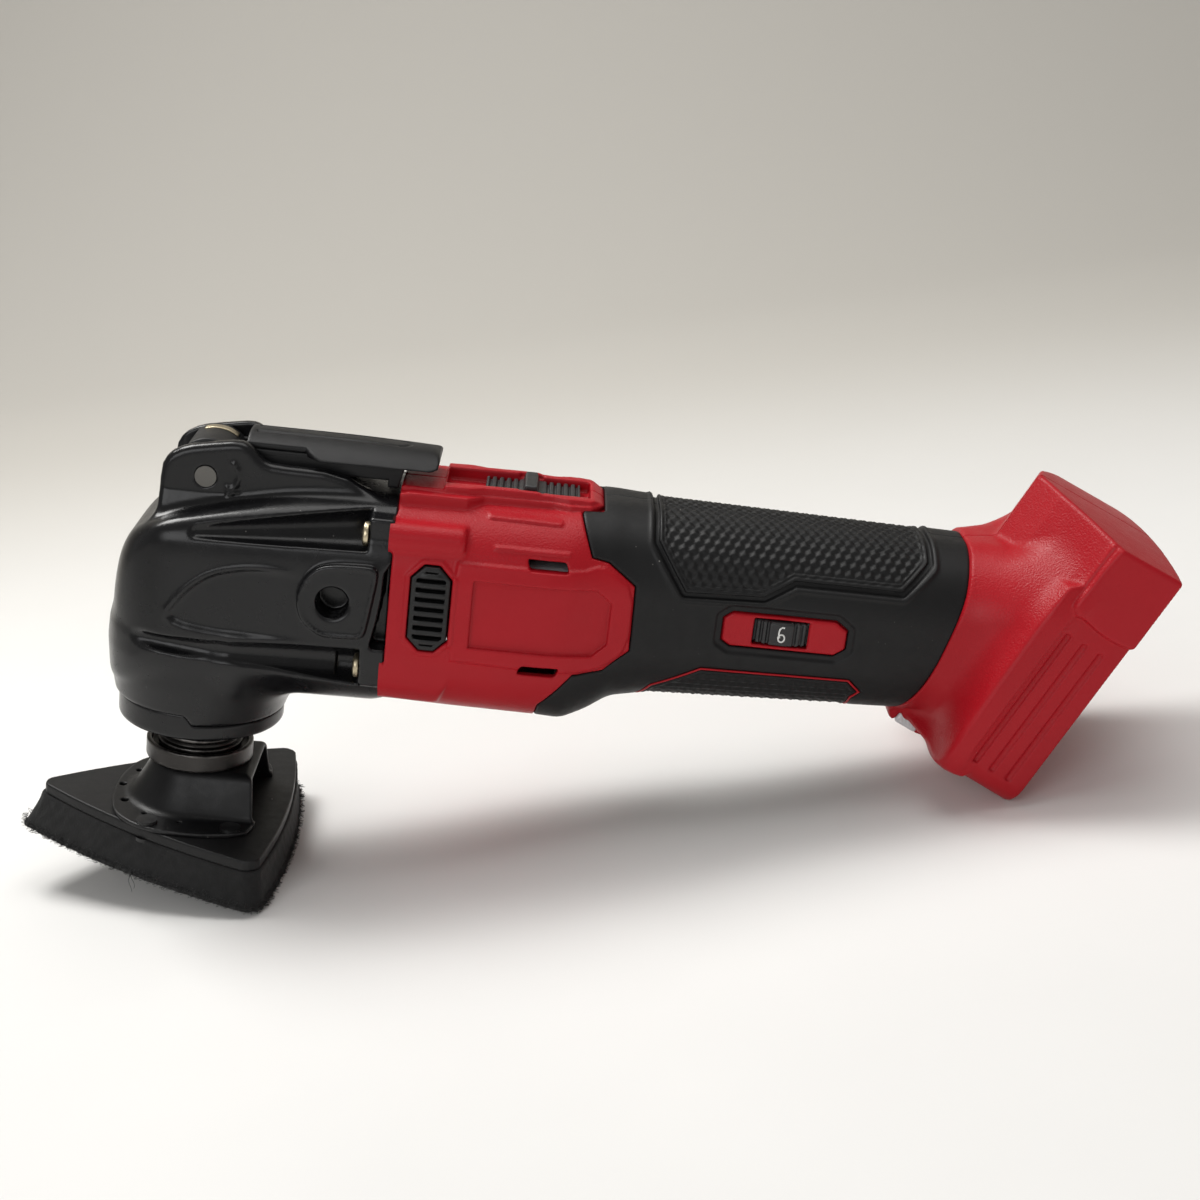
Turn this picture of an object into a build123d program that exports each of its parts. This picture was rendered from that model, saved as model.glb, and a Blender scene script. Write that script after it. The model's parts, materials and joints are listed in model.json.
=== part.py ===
from build123d import *
import os
from math import sin, cos, atan2, radians, degrees, sqrt

# Cordless oscillating multi-tool with a delta sanding pad, bare tool without its battery.
# Modelling frame: X along the tool towards the battery foot, Y across the tool (left is -Y),
# Z up along the output spindle, origin where the spindle axis meets the sanding face.
# At the end every part is turned about Y into the pose in which the tool lies on a table,
# on the heel of the pad and the lower corner of the battery foot.
os.makedirs("parts", exist_ok=True)

# ---------------------------------------------------------------- driving dimensions (mm)
RUN = 0.03               # running clearance on a radius
FIT = 0.01               # clearance of a fixed fit on a radius
GAP = 0.02               # gap between two faces that meet

AXIS_Z = 92.0            # motor axis height above the sanding face
MOTOR_R = 20.5           # motor can radius
SHAFT_R = 3.0            # motor shaft radius
ECCENTRICITY = 0.6       # of the drive bearing
PAD_TOP_Z = 14.6         # top of the pad plate
FLANGE_R = 15.6          # spindle flange radius
FLANGE_Z0, FLANGE_Z1 = 28.4, 32.5
SPINDLE_R = 7.0          # spindle journal radius
BOLT_R = 3.0             # clamp bolt radius
PIN_Z, PIN_R = 117.6, 3.0        # lever pivot, straight above the spindle
CAM_R = 4.55             # cam radius with the lever closed
LEVER_OPEN = 115.0       # lever swing, degrees
RELEASE = 2.5            # clamp bolt travel
LEVER_HALF = 9.1         # half width of the lever arm
FOOT_ANGLE = 64.0        # slope of the battery foot above the tool axis, degrees
FOOT_S0, FOOT_S1 = 148.0, 230.0  # foot ends along the sliding direction
FOOT_N = 188.0           # seat plane of the battery foot
FOOT_W = 36.0            # half width of the battery foot
HOLE_X, HOLE_Z, HOLE_R = 38.6, 89.8, 4.25   # side handle hole, drilled for an M10 thread
DIAL_X, DIAL_Y, DIAL_R = 163.5, -11.2, 15.0
SPLIT_X = 54.0           # joint face between gear housing and motor housing
HOUSING_X = SPLIT_X + GAP        # front face of the motor housing
BODY_HALF = 29.6         # half width of both housings at the joint
LOWER_BEARING_R, UPPER_BEARING_R = 14.0, 11.0
MOTOR_BEARING_R, DRIVE_BEARING_R = 8.0, 8.5

FOOT_COS, FOOT_SIN = cos(radians(FOOT_ANGLE)), sin(radians(FOOT_ANGLE))


# ---------------------------------------------------------------- small helpers
def box(x0, x1, y0, y1, z0, z1):
    middle = Pos((x0 + x1) / 2, (y0 + y1) / 2, (z0 + z1) / 2)
    return middle * Box(x1 - x0, y1 - y0, z1 - z0)


def mid_box(x0, x1, half, z0, z1):
    """Box centred on the XZ plane."""
    return box(x0, x1, -half, half, z0, z1)


def side_boxes(x0, x1, y0, y1, z0, z1):
    """A box on the left and its mirror image on the right."""
    return box(x0, x1, -y1, -y0, z0, z1) + box(x0, x1, y0, y1, z0, z1)


def cyl_x(y, z, x0, x1, r):
    return Pos((x0 + x1) / 2, y, z) * Rot(0, 90, 0) * Cylinder(r, x1 - x0)


def cyl_y(x, z, y0, y1, r):
    return Pos(x, (y0 + y1) / 2, z) * Rot(90, 0, 0) * Cylinder(r, y1 - y0)


def cyl_z(x, y, z0, z1, r):
    return Pos(x, y, (z0 + z1) / 2) * Cylinder(r, z1 - z0)


def on_spindle(z0, z1, r):
    return cyl_z(0, 0, z0, z1, r)


def on_motor(x0, x1, r):
    return cyl_x(0, AXIS_Z, x0, x1, r)


def on_eccentric(x0, x1, r):
    return cyl_x(0, AXIS_Z + ECCENTRICITY, x0, x1, r)


def about_motor(angle, shape):
    return Pos(0, 0, AXIS_Z) * Rot(angle, 0, 0) * Pos(0, 0, -AXIS_Z) * shape


def prism(points, length, direction):
    return extrude(make_face(Polyline(*points, close=True)), amount=length, dir=direction)


def prism_x(outline, x0, x1):
    return prism([(x0, y, z) for y, z in outline], x1 - x0, (1, 0, 0))


def prism_y(outline, y0, y1):
    return prism([(x, y0, z) for x, z in outline], y1 - y0, (0, 1, 0))


def prism_z(outline, z0, z1):
    return prism([(x, y, z0) for x, y in outline], z1 - z0, (0, 0, 1))


def mirror_first(half):
    """Half outline closed by its reflection in the first coordinate."""
    return half + [(-a, b) for a, b in reversed(half)]


def mirror_second(half):
    return half + [(a, -b) for a, b in reversed(half)]


def group(shapes):
    return Compound(children=list(shapes))


def fuse(shapes):
    return sum(shapes[1:], shapes[0])


def rods(places, z0, z1, r):
    """Vertical cylinders at a list of (x, y) places."""
    return [cyl_z(x, y, z0, z1, r) for x, y in places]


# Battery foot coordinates: s along the sliding direction, n out of the seat.
FOOT = Plane(origin=(0, 0, 0), x_dir=(FOOT_COS, 0, FOOT_SIN), z_dir=(-FOOT_SIN, 0, FOOT_COS))


def foot_point(s, n, y=0):
    return (FOOT_COS * s + FOOT_SIN * n, y, FOOT_SIN * s - FOOT_COS * n)


def foot_box(s0, s1, half, n0, n1, corner=0, y=0):
    """Box in foot coordinates, half wide to either side of y."""
    block = Pos((s0 + s1) / 2, y, -(n0 + n1) / 2) * Box(s1 - s0, 2 * half, n1 - n0)
    if corner:
        block = fillet(block.edges().filter_by(Axis.Z), corner)
    return FOOT.location * block


def around_z(z):
    """Places on a circle round the spindle axis at height z."""
    return lambda r, a: Pos(r * cos(radians(a)), r * sin(radians(a)), z)


def around_x(x, axis_z):
    return lambda r, a: Pos(x, r * cos(radians(a)), axis_z + r * sin(radians(a)))


def bearing(cylinder, ball_place, start, end, bore, outside, wall, count):
    """Inner ring, outer ring and loose balls; cylinder() and ball_place() set the axis."""
    inner = cylinder(start, end, bore + wall) - cylinder(start - 1, end + 1, bore)
    outer = cylinder(start, end, outside) - cylinder(start - 1, end + 1, outside - wall)
    ball_r = (outside - bore - 2 * wall) / 2 - RUN
    pitch_r = (outside + bore) / 2
    balls = [ball_place(pitch_r, 360.0 * i / count + 11) * Sphere(ball_r) for i in range(count)]
    return inner, outer, balls


parts = {}

# ================================================================ gear housing (die-cast head)
# Side view (x, z), clockwise seen from the left, starting low at the front.
HEAD_SIDE = [
    (-23.6, 46.5), (-25.3, 52), (-27.0, 65), (-27.6, 76.7), (-26.3, 86), (-24.1, 96.8),
    (-18, 101.5), (-13, 103.9), (-12.2, 119), (-10, 122.5), (-5, 125), (3, 127), (10.9, 127.5),
    (15, 122.8), (22.9, 120.8), (38.3, 119.2), (49.9, 115.6), (SPLIT_X, 114.5), (SPLIT_X, 57.3),
    (39.9, 54.8), (33, 53), (28.5, 49.4), (25.5, 46.5)]
# Front view (y, z), left half upwards.
HEAD_FRONT = mirror_first([
    (-23.6, 46), (-26.5, 50), (-28.5, 60), (-29.5, 74), (-29.5, 94), (-28, 103), (-23, 110.5),
    (-14.2, 116), (-14.0, 128)])
# Plan (x, y): an elliptical nose running into parallel sides.
HEAD_PLAN = [(28.5 * -cos(radians(a)) + 0.5, BODY_HALF * sin(radians(a)))
             for a in range(-90, 91, 15)]
HEAD_PLAN += [(SPLIT_X, BODY_HALF), (SPLIT_X, -BODY_HALF)]
# Screws into the motor housing, (y, z).
HEAD_SCREWS = [(y, z) for y in (-24.3, 24.3) for z in (105.8, 70.4)]

head = (prism_y(HEAD_SIDE, -30, 30) & prism_x(HEAD_FRONT, -30, SPLIT_X)
        & prism_z(HEAD_PLAN, 40, 130))
# cavity for the fork and the front of the motor
head -= on_spindle(58, 98.2, 18)
head -= on_spindle(80, 98.2, 20.4)
head -= on_motor(14, SPLIT_X + 1, MOTOR_R)
# bearing seats and spindle passage
head -= on_spindle(45, 54.02, LOWER_BEARING_R + FIT)
head -= on_spindle(53, 60, 11.5)
head -= on_spindle(97, 103.5, UPPER_BEARING_R + FIT)
head -= on_spindle(102, 108, BOLT_R + 0.15)
# slot for the lever between the two ears, open at the top, front and rear
head -= mid_box(-11.4, 16.5, 9.7, 106.4, 130)
head -= mid_box(-20, -11, 9.7, 111.0, 130)
head -= mid_box(16, SPLIT_X + 1, 10.6, 118.2, 130)
head -= mid_box(26.5, SPLIT_X + 1, 15, 119.3, 130)
# lever pivot
head -= cyl_y(0, PIN_Z, -20, 20, PIN_R + FIT)
# side handle bosses and blind holes
for y0, y1 in ((-31.2, -20.9), (20.9, 31.2)):
    head += cyl_y(HOLE_X, HOLE_Z, y0, y1, 8.5)
for y0, y1 in ((-32, -21.6), (21.6, 32)):
    head -= cyl_y(HOLE_X, HOLE_Z, y0, y1, HOLE_R)
# screw pockets at the rear corners
for y, z in HEAD_SCREWS:
    head -= cyl_x(y, z, 30, 47, 4.2)
    head -= cyl_x(y, z, 46, SPLIT_X + 1, 2.1)
parts["head_screws"] = group(
    cyl_x(y, z, 42.6, 46.95, 3.6) + cyl_x(y, z, 46, 66, 2.0) for y, z in HEAD_SCREWS)

# ================================================================ nose ring and seal
# The ring retains the lower bearing; its screws are at (x, y).
NOSE_SCREW_CIRCLE = 18.6
NOSE_SCREWS = [(NOSE_SCREW_CIRCLE * cos(radians(a)), NOSE_SCREW_CIRCLE * sin(radians(a)))
               for a in (45, 135, 225, 315)]

ring = on_spindle(42, 46.45, 23.4) - on_spindle(41, 48, 11.3) - on_spindle(43.2, 48, 13.6)
ring -= group(rods(NOSE_SCREWS, 41, 48, 1.35))
ring -= group(rods(NOSE_SCREWS, 41, 43.6, 2.6))
parts["nose_ring"] = ring
parts["spindle_seal"] = on_spindle(43.3, 45.9, 13.55) - on_spindle(43, 47, 11.05)
head -= group(rods(NOSE_SCREWS, 45, 54, 1.26))
parts["gear_housing"] = head
parts["nose_ring_screws"] = group(
    cyl_z(x, y, 42.1, 43.55, 2.4) + cyl_z(x, y, 43.4, 52, 1.2) for x, y in NOSE_SCREWS)

# ================================================================ spindle, bearings, drive fork
inner, outer, balls = bearing(on_spindle, around_z(50.2), 46.5, 54.0, SPINDLE_R + FIT,
                              LOWER_BEARING_R, wall=2.0, count=9)
parts["lower_bearing_inner_ring"] = inner
parts["lower_bearing_outer_ring"] = group([outer] + balls)
inner, outer, balls = bearing(on_spindle, around_z(100.9), 98.4, 103.4, SPINDLE_R + FIT,
                              UPPER_BEARING_R, wall=1.1, count=11)
parts["upper_bearing_inner_ring"] = inner
parts["upper_bearing_outer_ring"] = group([outer] + balls)

spindle = on_spindle(FLANGE_Z0 + GAP, FLANGE_Z1, FLANGE_R)
spindle += on_spindle(FLANGE_Z1 - 0.5, 46.4, 11.0)
spindle += on_spindle(46, 103.4, SPINDLE_R)
spindle -= on_spindle(27, 110, BOLT_R + RUN)
spindle -= on_spindle(66, 110, 5.3)      # wide bore for the clamp spring
parts["spindle"] = spindle

FORK_TOP = 98.0
fork = on_spindle(83, FORK_TOP, 12.0) + mid_box(4, 34, 14.3, 84, FORK_TOP)
fork -= mid_box(14.5, 40, 9.55, 80, 100)
fork -= on_spindle(80, 101, SPINDLE_R + FIT)
parts["drive_fork"] = fork

# ================================================================ accessory clamp
parts["clamp_bolt"] = (on_spindle(25.9, PIN_Z - CAM_R - 0.22, BOLT_R)
                       + on_spindle(22.6, 26.0, 8.0) - on_spindle(22, 24.2, 2.9))
parts["clamp_nut"] = on_spindle(96.6, 99.4, 5.2) - on_spindle(96, 100, BOLT_R + FIT)
# coil spring that pulls the accessory against the flange
coil = Helix(pitch=3.2, height=25.6, radius=4.15)
spring = sweep(Plane(origin=coil @ 0, z_dir=coil % 0) * Circle(0.75), path=coil, is_frenet=True)
parts["clamp_spring"] = Pos(0, 0, 68.6) * spring

# ================================================================ stamped pad holder
# Flange outline (x, y): the front point, then the left half towards the rear.
HOLDER_OUTLINE = [(-23.9, 0)] + mirror_second([
    (-23.4, -8), (-21.7, -17.2), (-15.1, -24.6), (-8.2, -28.2), (4.3, -29.1), (14, -27),
    (19.8, -22.8)])
HOLDER_HOLES = [(-21.6, 0), (-18.9, -11), (-18.9, 11)]
PAD_RIVETS = [(-10.5, -24.0), (-10.5, 24.0), (13.5, -24.0), (13.5, 24.0)]
RIVET_HOLE_R = 1.62


def holder_seat(z0, z1, low, high, rear):
    """Cone on the spindle axis, carried on to the rear with the same flanks."""
    cone = Pos(0, 0, (z0 + z1) / 2) * Cone(low, high, z1 - z0)
    return cone + prism_x([(-low, z0), (-high, z1), (high, z1), (low, z0)], 0, rear)


holder = prism_z(HOLDER_OUTLINE, PAD_TOP_Z + GAP, 15.8)
holder += holder_seat(15.7, FLANGE_Z0 - GAP, 20.5, 13.0, rear=19.0)
holder -= holder_seat(14.0, 26.75, 19.8, 11.9, rear=21.0)    # hollow, open to the rear
holder -= on_spindle(26, 29, BOLT_R + 0.05)
holder -= group(rods(HOLDER_HOLES, 14, 17, 1.1))
holder -= group(rods(PAD_RIVETS, 14, 17, RIVET_HOLE_R))
parts["pad_holder"] = holder

# ================================================================ delta sanding pad
EDGE_STEPS = (0.035, 0.09, 0.18, 0.29, 0.4, 0.5, 0.6, 0.71, 0.82, 0.91, 0.965)


def pad_outline(bow, toe, rear, half):
    """Triangle (x, y) with bowed sides and blunted corners."""
    corners = [(toe, 0.0), (rear, half), (rear, -half)]
    points = []
    for (x0, y0), (x1, y1) in zip(corners, corners[1:] + corners[:1]):
        length = sqrt((x1 - x0) ** 2 + (y1 - y0) ** 2)
        normal_x, normal_y = -(y1 - y0) / length, (x1 - x0) / length
        side_bow = -bow if OUTWARD_BOW else bow
        for t in EDGE_STEPS:
            offset = side_bow * 4 * t * (1 - t)
            points.append((x0 + (x1 - x0) * t + normal_x * offset,
                           y0 + (y1 - y0) * t + normal_y * offset))
    return points


OUTWARD_BOW = False      # the bow is measured along the left-hand normal of each side
HOOK_OUTLINE = pad_outline(4.2, -53.4, 25.3, 45.1)

parts["pad_plate"] = (prism_z(pad_outline(4.0, -47.2, 23.6, 42.4), 11.42, PAD_TOP_Z)
                      - group(rods(PAD_RIVETS, 11, 15, RIVET_HOLE_R)))
foam_faces = [
    Plane.XY.offset(z) * make_face(Polyline(*outline, close=True))
    for z, outline in ((1.22, pad_outline(4.2, -53.2, 25.2, 44.9)),
                       (11.4, pad_outline(4.0, -48.2, 24.2, 43.0)))]
parts["pad_foam"] = (loft(foam_faces, ruled=True) - on_spindle(9.0, 12, 9.8)
                     - group(rods(PAD_RIVETS, 10.0, 12, 3.4)))
parts["hook_layer"] = prism_z(HOOK_OUTLINE, 0.0, 1.2)
parts["pad_rivets"] = group(
    cyl_z(x, y, 10.9, 15.9, 1.6) + cyl_z(x, y, 15.82, 16.7, 3.0) + cyl_z(x, y, 10.3, 11.38, 3.0)
    for x, y in PAD_RIVETS)

# ================================================================ release lever
LEVER_RIVET_X, LEVER_RIVET_Z, LEVER_RIVET_R = 5.2, 123.8, 1.2
CHEEKS_Y = ((-LEVER_HALF, -7.3), (7.3, LEVER_HALF))


def lever_arc(r, angles):
    """Points (x, z) on a circle round the lever pivot."""
    return [(r * cos(radians(a)), PIN_Z + r * sin(radians(a))) for a in angles]


def cam_radius(angle):
    if angle > 270:
        return CAM_R
    if angle >= 155:
        return CAM_R + RELEASE * (270 - angle) / LEVER_OPEN
    if angle >= 125:
        return CAM_R + RELEASE
    if angle >= 60:
        return 6.6
    if angle >= 30:
        return 6.2
    return 5.2


parts["lever_pin"] = cyl_y(0, PIN_Z, -14.0, 14.0, PIN_R)

cam = prism_y([lever_arc(cam_radius(a), [a])[0] for a in range(0, 360, 5)], -5.0, 5.0)
cam -= cyl_y(0, PIN_Z, -6, 6, PIN_R + RUN)
cam -= mid_box(2.5, 8, 6, 122.4, 126)
cam -= cyl_y(LEVER_RIVET_X, LEVER_RIVET_Z, -10, 10, LEVER_RIVET_R + FIT)
parts["lever_cam"] = cam

# side view of a cheek (x, z): round the pivot, then back along the arm
CHEEK = lever_arc(6.6, range(60, 331, 15)) + [
    (8, 119.6), (16, 120.4), (50, 120.4), (50, 118.4), (53, 118.4), (54.5, 124.6), (16, 124.6),
    (6, 124.2)]
arm = fuse([prism_y(CHEEK, y0, y1) for y0, y1 in CHEEKS_Y])
arm += mid_box(9, 54.0, LEVER_HALF, 124.6, 125.8)
# curved nose over the pivot, and the webs that join it to the cheeks
arm += prism_y(lever_arc(10.9, range(35, 131, 5)) + lever_arc(9.7, range(130, 34, -5)),
               -LEVER_HALF, LEVER_HALF)
for y0, y1 in CHEEKS_Y:
    arm += prism_y(lever_arc(10.3, (40, 60, 80, 100, 120)) + lever_arc(5.5, (120, 80, 40)),
                   y0, y1)
arm -= cyl_y(0, PIN_Z, -12, 12, PIN_R + RUN)
arm -= cyl_y(LEVER_RIVET_X, LEVER_RIVET_Z, -10, 10, LEVER_RIVET_R + FIT)
parts["lever_arm"] = arm
parts["lever_rivet"] = cyl_y(LEVER_RIVET_X, LEVER_RIVET_Z, -LEVER_HALF, LEVER_HALF,
                             LEVER_RIVET_R)

COVER_PLAN = mirror_second([(10.5, -9.2), (27, -9.2), (30.5, -13.6), (62, -13.6), (64.2, -11)])
COVER_SIDE = [(10.5, 125.85), (28.5, 125.82), (28.5, 124.9), (64.2, 124.9), (64.2, 128.4),
              (62, 129.0), (10.5, 129.6)]
cover = prism_z(COVER_PLAN, 120, 132) & prism_y(COVER_SIDE, -15, 15)
cover -= mid_box(27, 55.2, 9.3, 124.0, 125.85)
cover -= mid_box(12, 52, 2.4, 128.3, 131)
parts["lever_cover"] = cover

# ================================================================ motor housing and grip
# Stations of the barrel: x, half width, lowest z, highest z, corner radius.
BARREL = [
    (HOUSING_X, BODY_HALF, 57.3, 117.0, 20), (72, 30.0, 56.9, 117.4, 20),
    (98, 30.0, 56.6, 118.0, 20), (106, 28.6, 57.6, 119.6, 20.5), (114, 26.6, 60.6, 120.6, 21),
    (128, 25.5, 64.4, 120.0, 21), (165, 25.2, 65.8, 119.3, 21), (206, 24.9, 67.4, 118.5, 21)]
OPEN_END = (SPLIT_X - 1,) + BARREL[0][1:]    # runs a cavity out through the joint face
WALL, MOTOR_WALL, SKIN = 4.6, 2.6, 2.0
HOUSING_SCREWS = [(66.5, 62.6), (103.0, 62.6), (131.5, 73.6), (193.5, 110.8), (221.5, 76.5),
                  (244.3, 122.3)]        # (x, z)
VENT_X, VENT_Z, VENT_HALF_X, VENT_HALF_Z, VENT_CHAMFER = 65.3, 90.9, 5.5, 12.2, 3.5
CROWN_R = 209.0          # crown of the foot's upper end face


def barrel_face(station, inset):
    x, half, low, high, corner = station
    plane = Plane(origin=(x, 0, (low + high) / 2), x_dir=(0, 1, 0), z_dir=(1, 0, 0))
    return plane * RectangleRounded(2 * (half - inset), (high - low) - 2 * inset,
                                    max(corner - inset, 1.0))


def barrel(inset=0.0, stations=BARREL):
    return loft([barrel_face(station, inset) for station in stations], ruled=True)


def neck(inset):
    """Transition from the rear of the barrel to the battery foot."""
    start = barrel_face((BARREL[-1][0] - 0.5,) + BARREL[-1][1:], inset)
    plane = Plane(origin=foot_point(181, 163), x_dir=(0, 1, 0),
                  z_dir=(FOOT_SIN, 0, -FOOT_COS))
    end = plane * RectangleRounded(2 * (FOOT_W - inset), 66 - 2 * inset, 9 - inset)
    return loft([start, end], ruled=True)


def vent_octagon(gap, y0, y1):
    half_x, half_z = VENT_HALF_X + gap, VENT_HALF_Z + gap
    long_x, long_z = half_x - VENT_CHAMFER, half_z - VENT_CHAMFER
    corners = [(-half_x, -long_z), (-long_x, -half_z), (long_x, -half_z), (half_x, -long_z),
               (half_x, long_z), (long_x, half_z), (-long_x, half_z), (-half_x, long_z)]
    return prism_y([(VENT_X + x, VENT_Z + z) for x, z in corners], y0, y1)


# deck on top, under the lever and round the slide switch
deck = mid_box(HOUSING_X, 66, 12.6, 112, 120.6)
deck += prism_y([(65, 112), (65, 124.4), (109.5, 123.2), (110.5, 119), (110.5, 112)],
                -12.6, 12.6)

# battery foot
foot = foot_box(FOOT_S0, FOOT_S1 + 3, FOOT_W, 165.5, FOOT_N, corner=5)
foot += foot_box(FOOT_S0 + 0.05, 213.6, FOOT_W - 0.05, 162.6, 180, corner=5)
# upper end of the foot: a blunt prow, (y, n) across the sliding direction
prow_plane = Plane(origin=foot_point(198, 0), x_dir=(0, 1, 0), z_dir=(FOOT_COS, 0, FOOT_SIN))
PROW = [(0, 150.3)] + mirror_first([(13.4, 153.9), (33.5, 165.0), (35.9, 166.6), (35.9, 178.0)])
foot += extrude(prow_plane * Polygon(*[(y, -n) for y, n in PROW], align=None),
                amount=FOOT_S1 - 195.4)
ridge = foot_box(199, 232.5, 38.0, 167, 186, corner=4)
# the end face of the foot is crowned across its width
crown = FOOT.location * Pos(FOOT_S1 - CROWN_R, 0, -165) * Cylinder(CROWN_R, 70)
foot = foot & crown
ridge = ridge & crown

# the soft skin replaces the outer layer of the barrel in the grip region
skin = (barrel() - barrel(SKIN)) & mid_box(111, 205.4, 40, 40, 140)
hard = barrel() - ((barrel() - barrel(SKIN + GAP)) & mid_box(110.98, 205.5, 40, 40, 140))
shell = hard + deck + neck(0) + foot + ridge

# cavities, with two bulkheads left standing round the motor
motor_cavity = barrel(MOTOR_WALL, [OPEN_END] + BARREL[1:4])
bulkheads = mid_box(74, 76, 40, 40, 140) + mid_box(104, 106.5, 40, 40, 140)
motor_cavity -= (bulkheads & (barrel() - on_motor(50, 130, MOTOR_R + GAP)))
shell = shell - motor_cavity - barrel(WALL, [OPEN_END] + BARREL) - neck(4.0)
shell -= foot_box(152, 210, 32, 161, 172.0)
shell -= foot_box(209, 226, 27, 166.5, 172.0)
shell -= foot_box(205, 225, 12, 157.5, 168)
# battery slot with an undercut rail on either side, open at the lower end of the foot
shell -= foot_box(146, 220, 25, 176.0, 184.0)
shell -= foot_box(146, 220, 21, 183.0, 190.0)
shell -= foot_box(200, 219.95, 18.05, 170, 177)
# latch notches in the slot walls
shell -= foot_box(160, 166, 28, 178, 184)
# three grooves on either side of the foot
for n in (172.5, 178.0, 184.0):
    shell -= (foot_box(151, 197, 1.05, n - 0.9, n + 0.9, y=-35.95)
              + foot_box(151, 197, 1.05, n - 0.9, n + 0.9, y=35.95))
# lamp window in the lower end of the foot
shell -= foot_box(146, 154, 5, 155.5, 162.5)
# slide switch pocket and link slots
shell -= mid_box(66.2, 107.6, 8.6, 121.0, 128)
shell -= mid_box(80, 107.0, 3.6, 111, 123)
shell -= mid_box(100, 142.0, 3.6, 114.6, 119.0)
# vent slots above and below the recessed side panels, then the panels
for z in (105.9, 75.8):
    shell -= side_boxes(91.5, 101.8, 22, 35, z - 1.2, z + 1.2)
shell -= side_boxes(77.3, 113, 29.4, 35, 81.5, 99.2)
# dial window in a raised bezel on the left, (x, z)
BEZEL = [(147.2, 88.8), (149.6, 87.3), (179, 87.3), (181.9, 89.4), (181.9, 94.6), (178.5, 97.0),
         (149.6, 97.0), (147.2, 95.2)]
dial_cut = cyl_z(DIAL_X, DIAL_Y, 88.3, 96.1, DIAL_R + 0.4)
shell -= dial_cut
shell += prism_y(BEZEL, -24.9, -20.9)
shell -= dial_cut
# screw bosses, kept inside the shell
bosses = fuse([cyl_y(x, z, -22.0, 22.0, 3.6) for x, z in HOUSING_SCREWS])
shell += bosses & (barrel(2.3) + neck(1.0) + foot_box(200, 228, 31, 158, 172))
for x, z in HOUSING_SCREWS:
    shell -= cyl_y(x, z, -19.0, 45, 1.62)
    shell -= cyl_y(x, z, 17.0, 45, 3.2)
# bosses for the gear housing screws
for y, z in HEAD_SCREWS:
    shell += cyl_x(y, z, HOUSING_X, 70, 4.0) & barrel(0.5)
    shell -= cyl_x(y, z, 50, 68, 2.02)
# openings for the vent inserts
shell -= vent_octagon(0.05, -35, -20)
shell -= vent_octagon(0.05, 20, 35)

left_side = box(0, 300, -60, -0.01, 0, 200)
right_side = box(0, 300, 0.01, 60, 0, 200)
parts["housing_left"] = shell & left_side
parts["housing_right"] = shell & right_side
parts["housing_screws"] = group(
    cyl_y(x, z, -15.0, 17.2, 1.6) + cyl_y(x, z, 17.02, 19.6, 3.0) for x, z in HOUSING_SCREWS)

# soft grip skin, cut clear of the screws and the bezel
BEZEL_OPENING = [(146.9, 88.6), (149.4, 87.0), (179.2, 87.0), (182.2, 89.2), (182.2, 94.8),
                 (178.8, 97.3), (149.4, 97.3), (146.9, 95.4)]
for x, z in HOUSING_SCREWS:
    skin = skin - cyl_y(x, z, 10, 45, 3.3)
parts["grip_overmould_left"] = (skin & left_side) - prism_y(BEZEL_OPENING, -40, -15)
parts["grip_overmould_right"] = skin & right_side


def vent_insert(y0, y1):
    insert = vent_octagon(0, y0, y1)
    for i in range(7):
        z = VENT_Z + (i - 3) * 2.9
        insert -= box(61.4, 69.2, y0 - 1, y1 + 1, z - 0.65, z + 0.65)
    return insert


parts["vent_insert_left"] = vent_insert(-30.4, -25.0)
parts["vent_insert_right"] = vent_insert(25.0, 30.4)

# ================================================================ motor
SHAFT_BORE = SHAFT_R + FIT
parts["front_bearing_plate"] = (on_motor(46.0, 52.0, MOTOR_R - 0.05)
                                - on_motor(46.9, 53, MOTOR_BEARING_R + GAP)
                                - on_motor(45, 53, 5.6))
inner, outer, balls = bearing(on_motor, around_x(49.45, AXIS_Z), 47.0, 51.9, SHAFT_BORE,
                              MOTOR_BEARING_R, wall=1.1, count=7)
parts["motor_bearing_inner_ring"] = inner
parts["motor_bearing_outer_ring"] = group([outer] + balls)

can = on_motor(72.5, 110, MOTOR_R) - on_motor(74.0, 111, 19.0) - on_motor(70, 76, 6.5)
for i in range(6):
    angle = radians(60 * i + 30)
    can -= cyl_x(13 * cos(angle), AXIS_Z + 13 * sin(angle), 70, 76, 2.6)
parts["motor_can"] = can

magnet_ring = on_motor(77, 106, 18.98) - on_motor(76, 107, 16.5)
parts["motor_magnets"] = group([
    magnet_ring & mid_box(70, 110, 17.5, AXIS_Z + 5.0, AXIS_Z + 25),
    magnet_ring & mid_box(70, 110, 17.5, AXIS_Z - 25, AXIS_Z - 5.0)])

armature = on_motor(81, 102, 15.9) - on_motor(80, 103, SHAFT_BORE)
for i in range(10):
    armature -= about_motor(36.0 * i, mid_box(80, 103, 1.1, AXIS_Z + 8.5, AXIS_Z + 17))
parts["armature_core"] = armature
parts["armature_windings"] = group([
    on_motor(76.4, 80.98, 13.6) - on_motor(75, 82, 6.2),
    on_motor(102.02, 107.0, 13.6) - on_motor(101, 108, 6.2)])
parts["rotor_shaft"] = on_motor(36.3, 126.6, SHAFT_R)

commutator = on_motor(110.2, 118.0, 7.0) - on_motor(109, 119, SHAFT_BORE)
for i in range(10):
    commutator -= about_motor(36.0 * i + 18, mid_box(109, 119, 0.25, AXIS_Z + 6, AXIS_Z + 8))
parts["commutator"] = commutator

fan = on_motor(66.4, 68.0, 19.8) + on_motor(58.5, 68.0, 6.0)
for i in range(11):
    fan += about_motor(360.0 * i / 11, mid_box(59.5, 66.6, 0.7, AXIS_Z + 5, AXIS_Z + 19.6))
parts["cooling_fan"] = fan - on_motor(57, 69, SHAFT_BORE)

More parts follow.
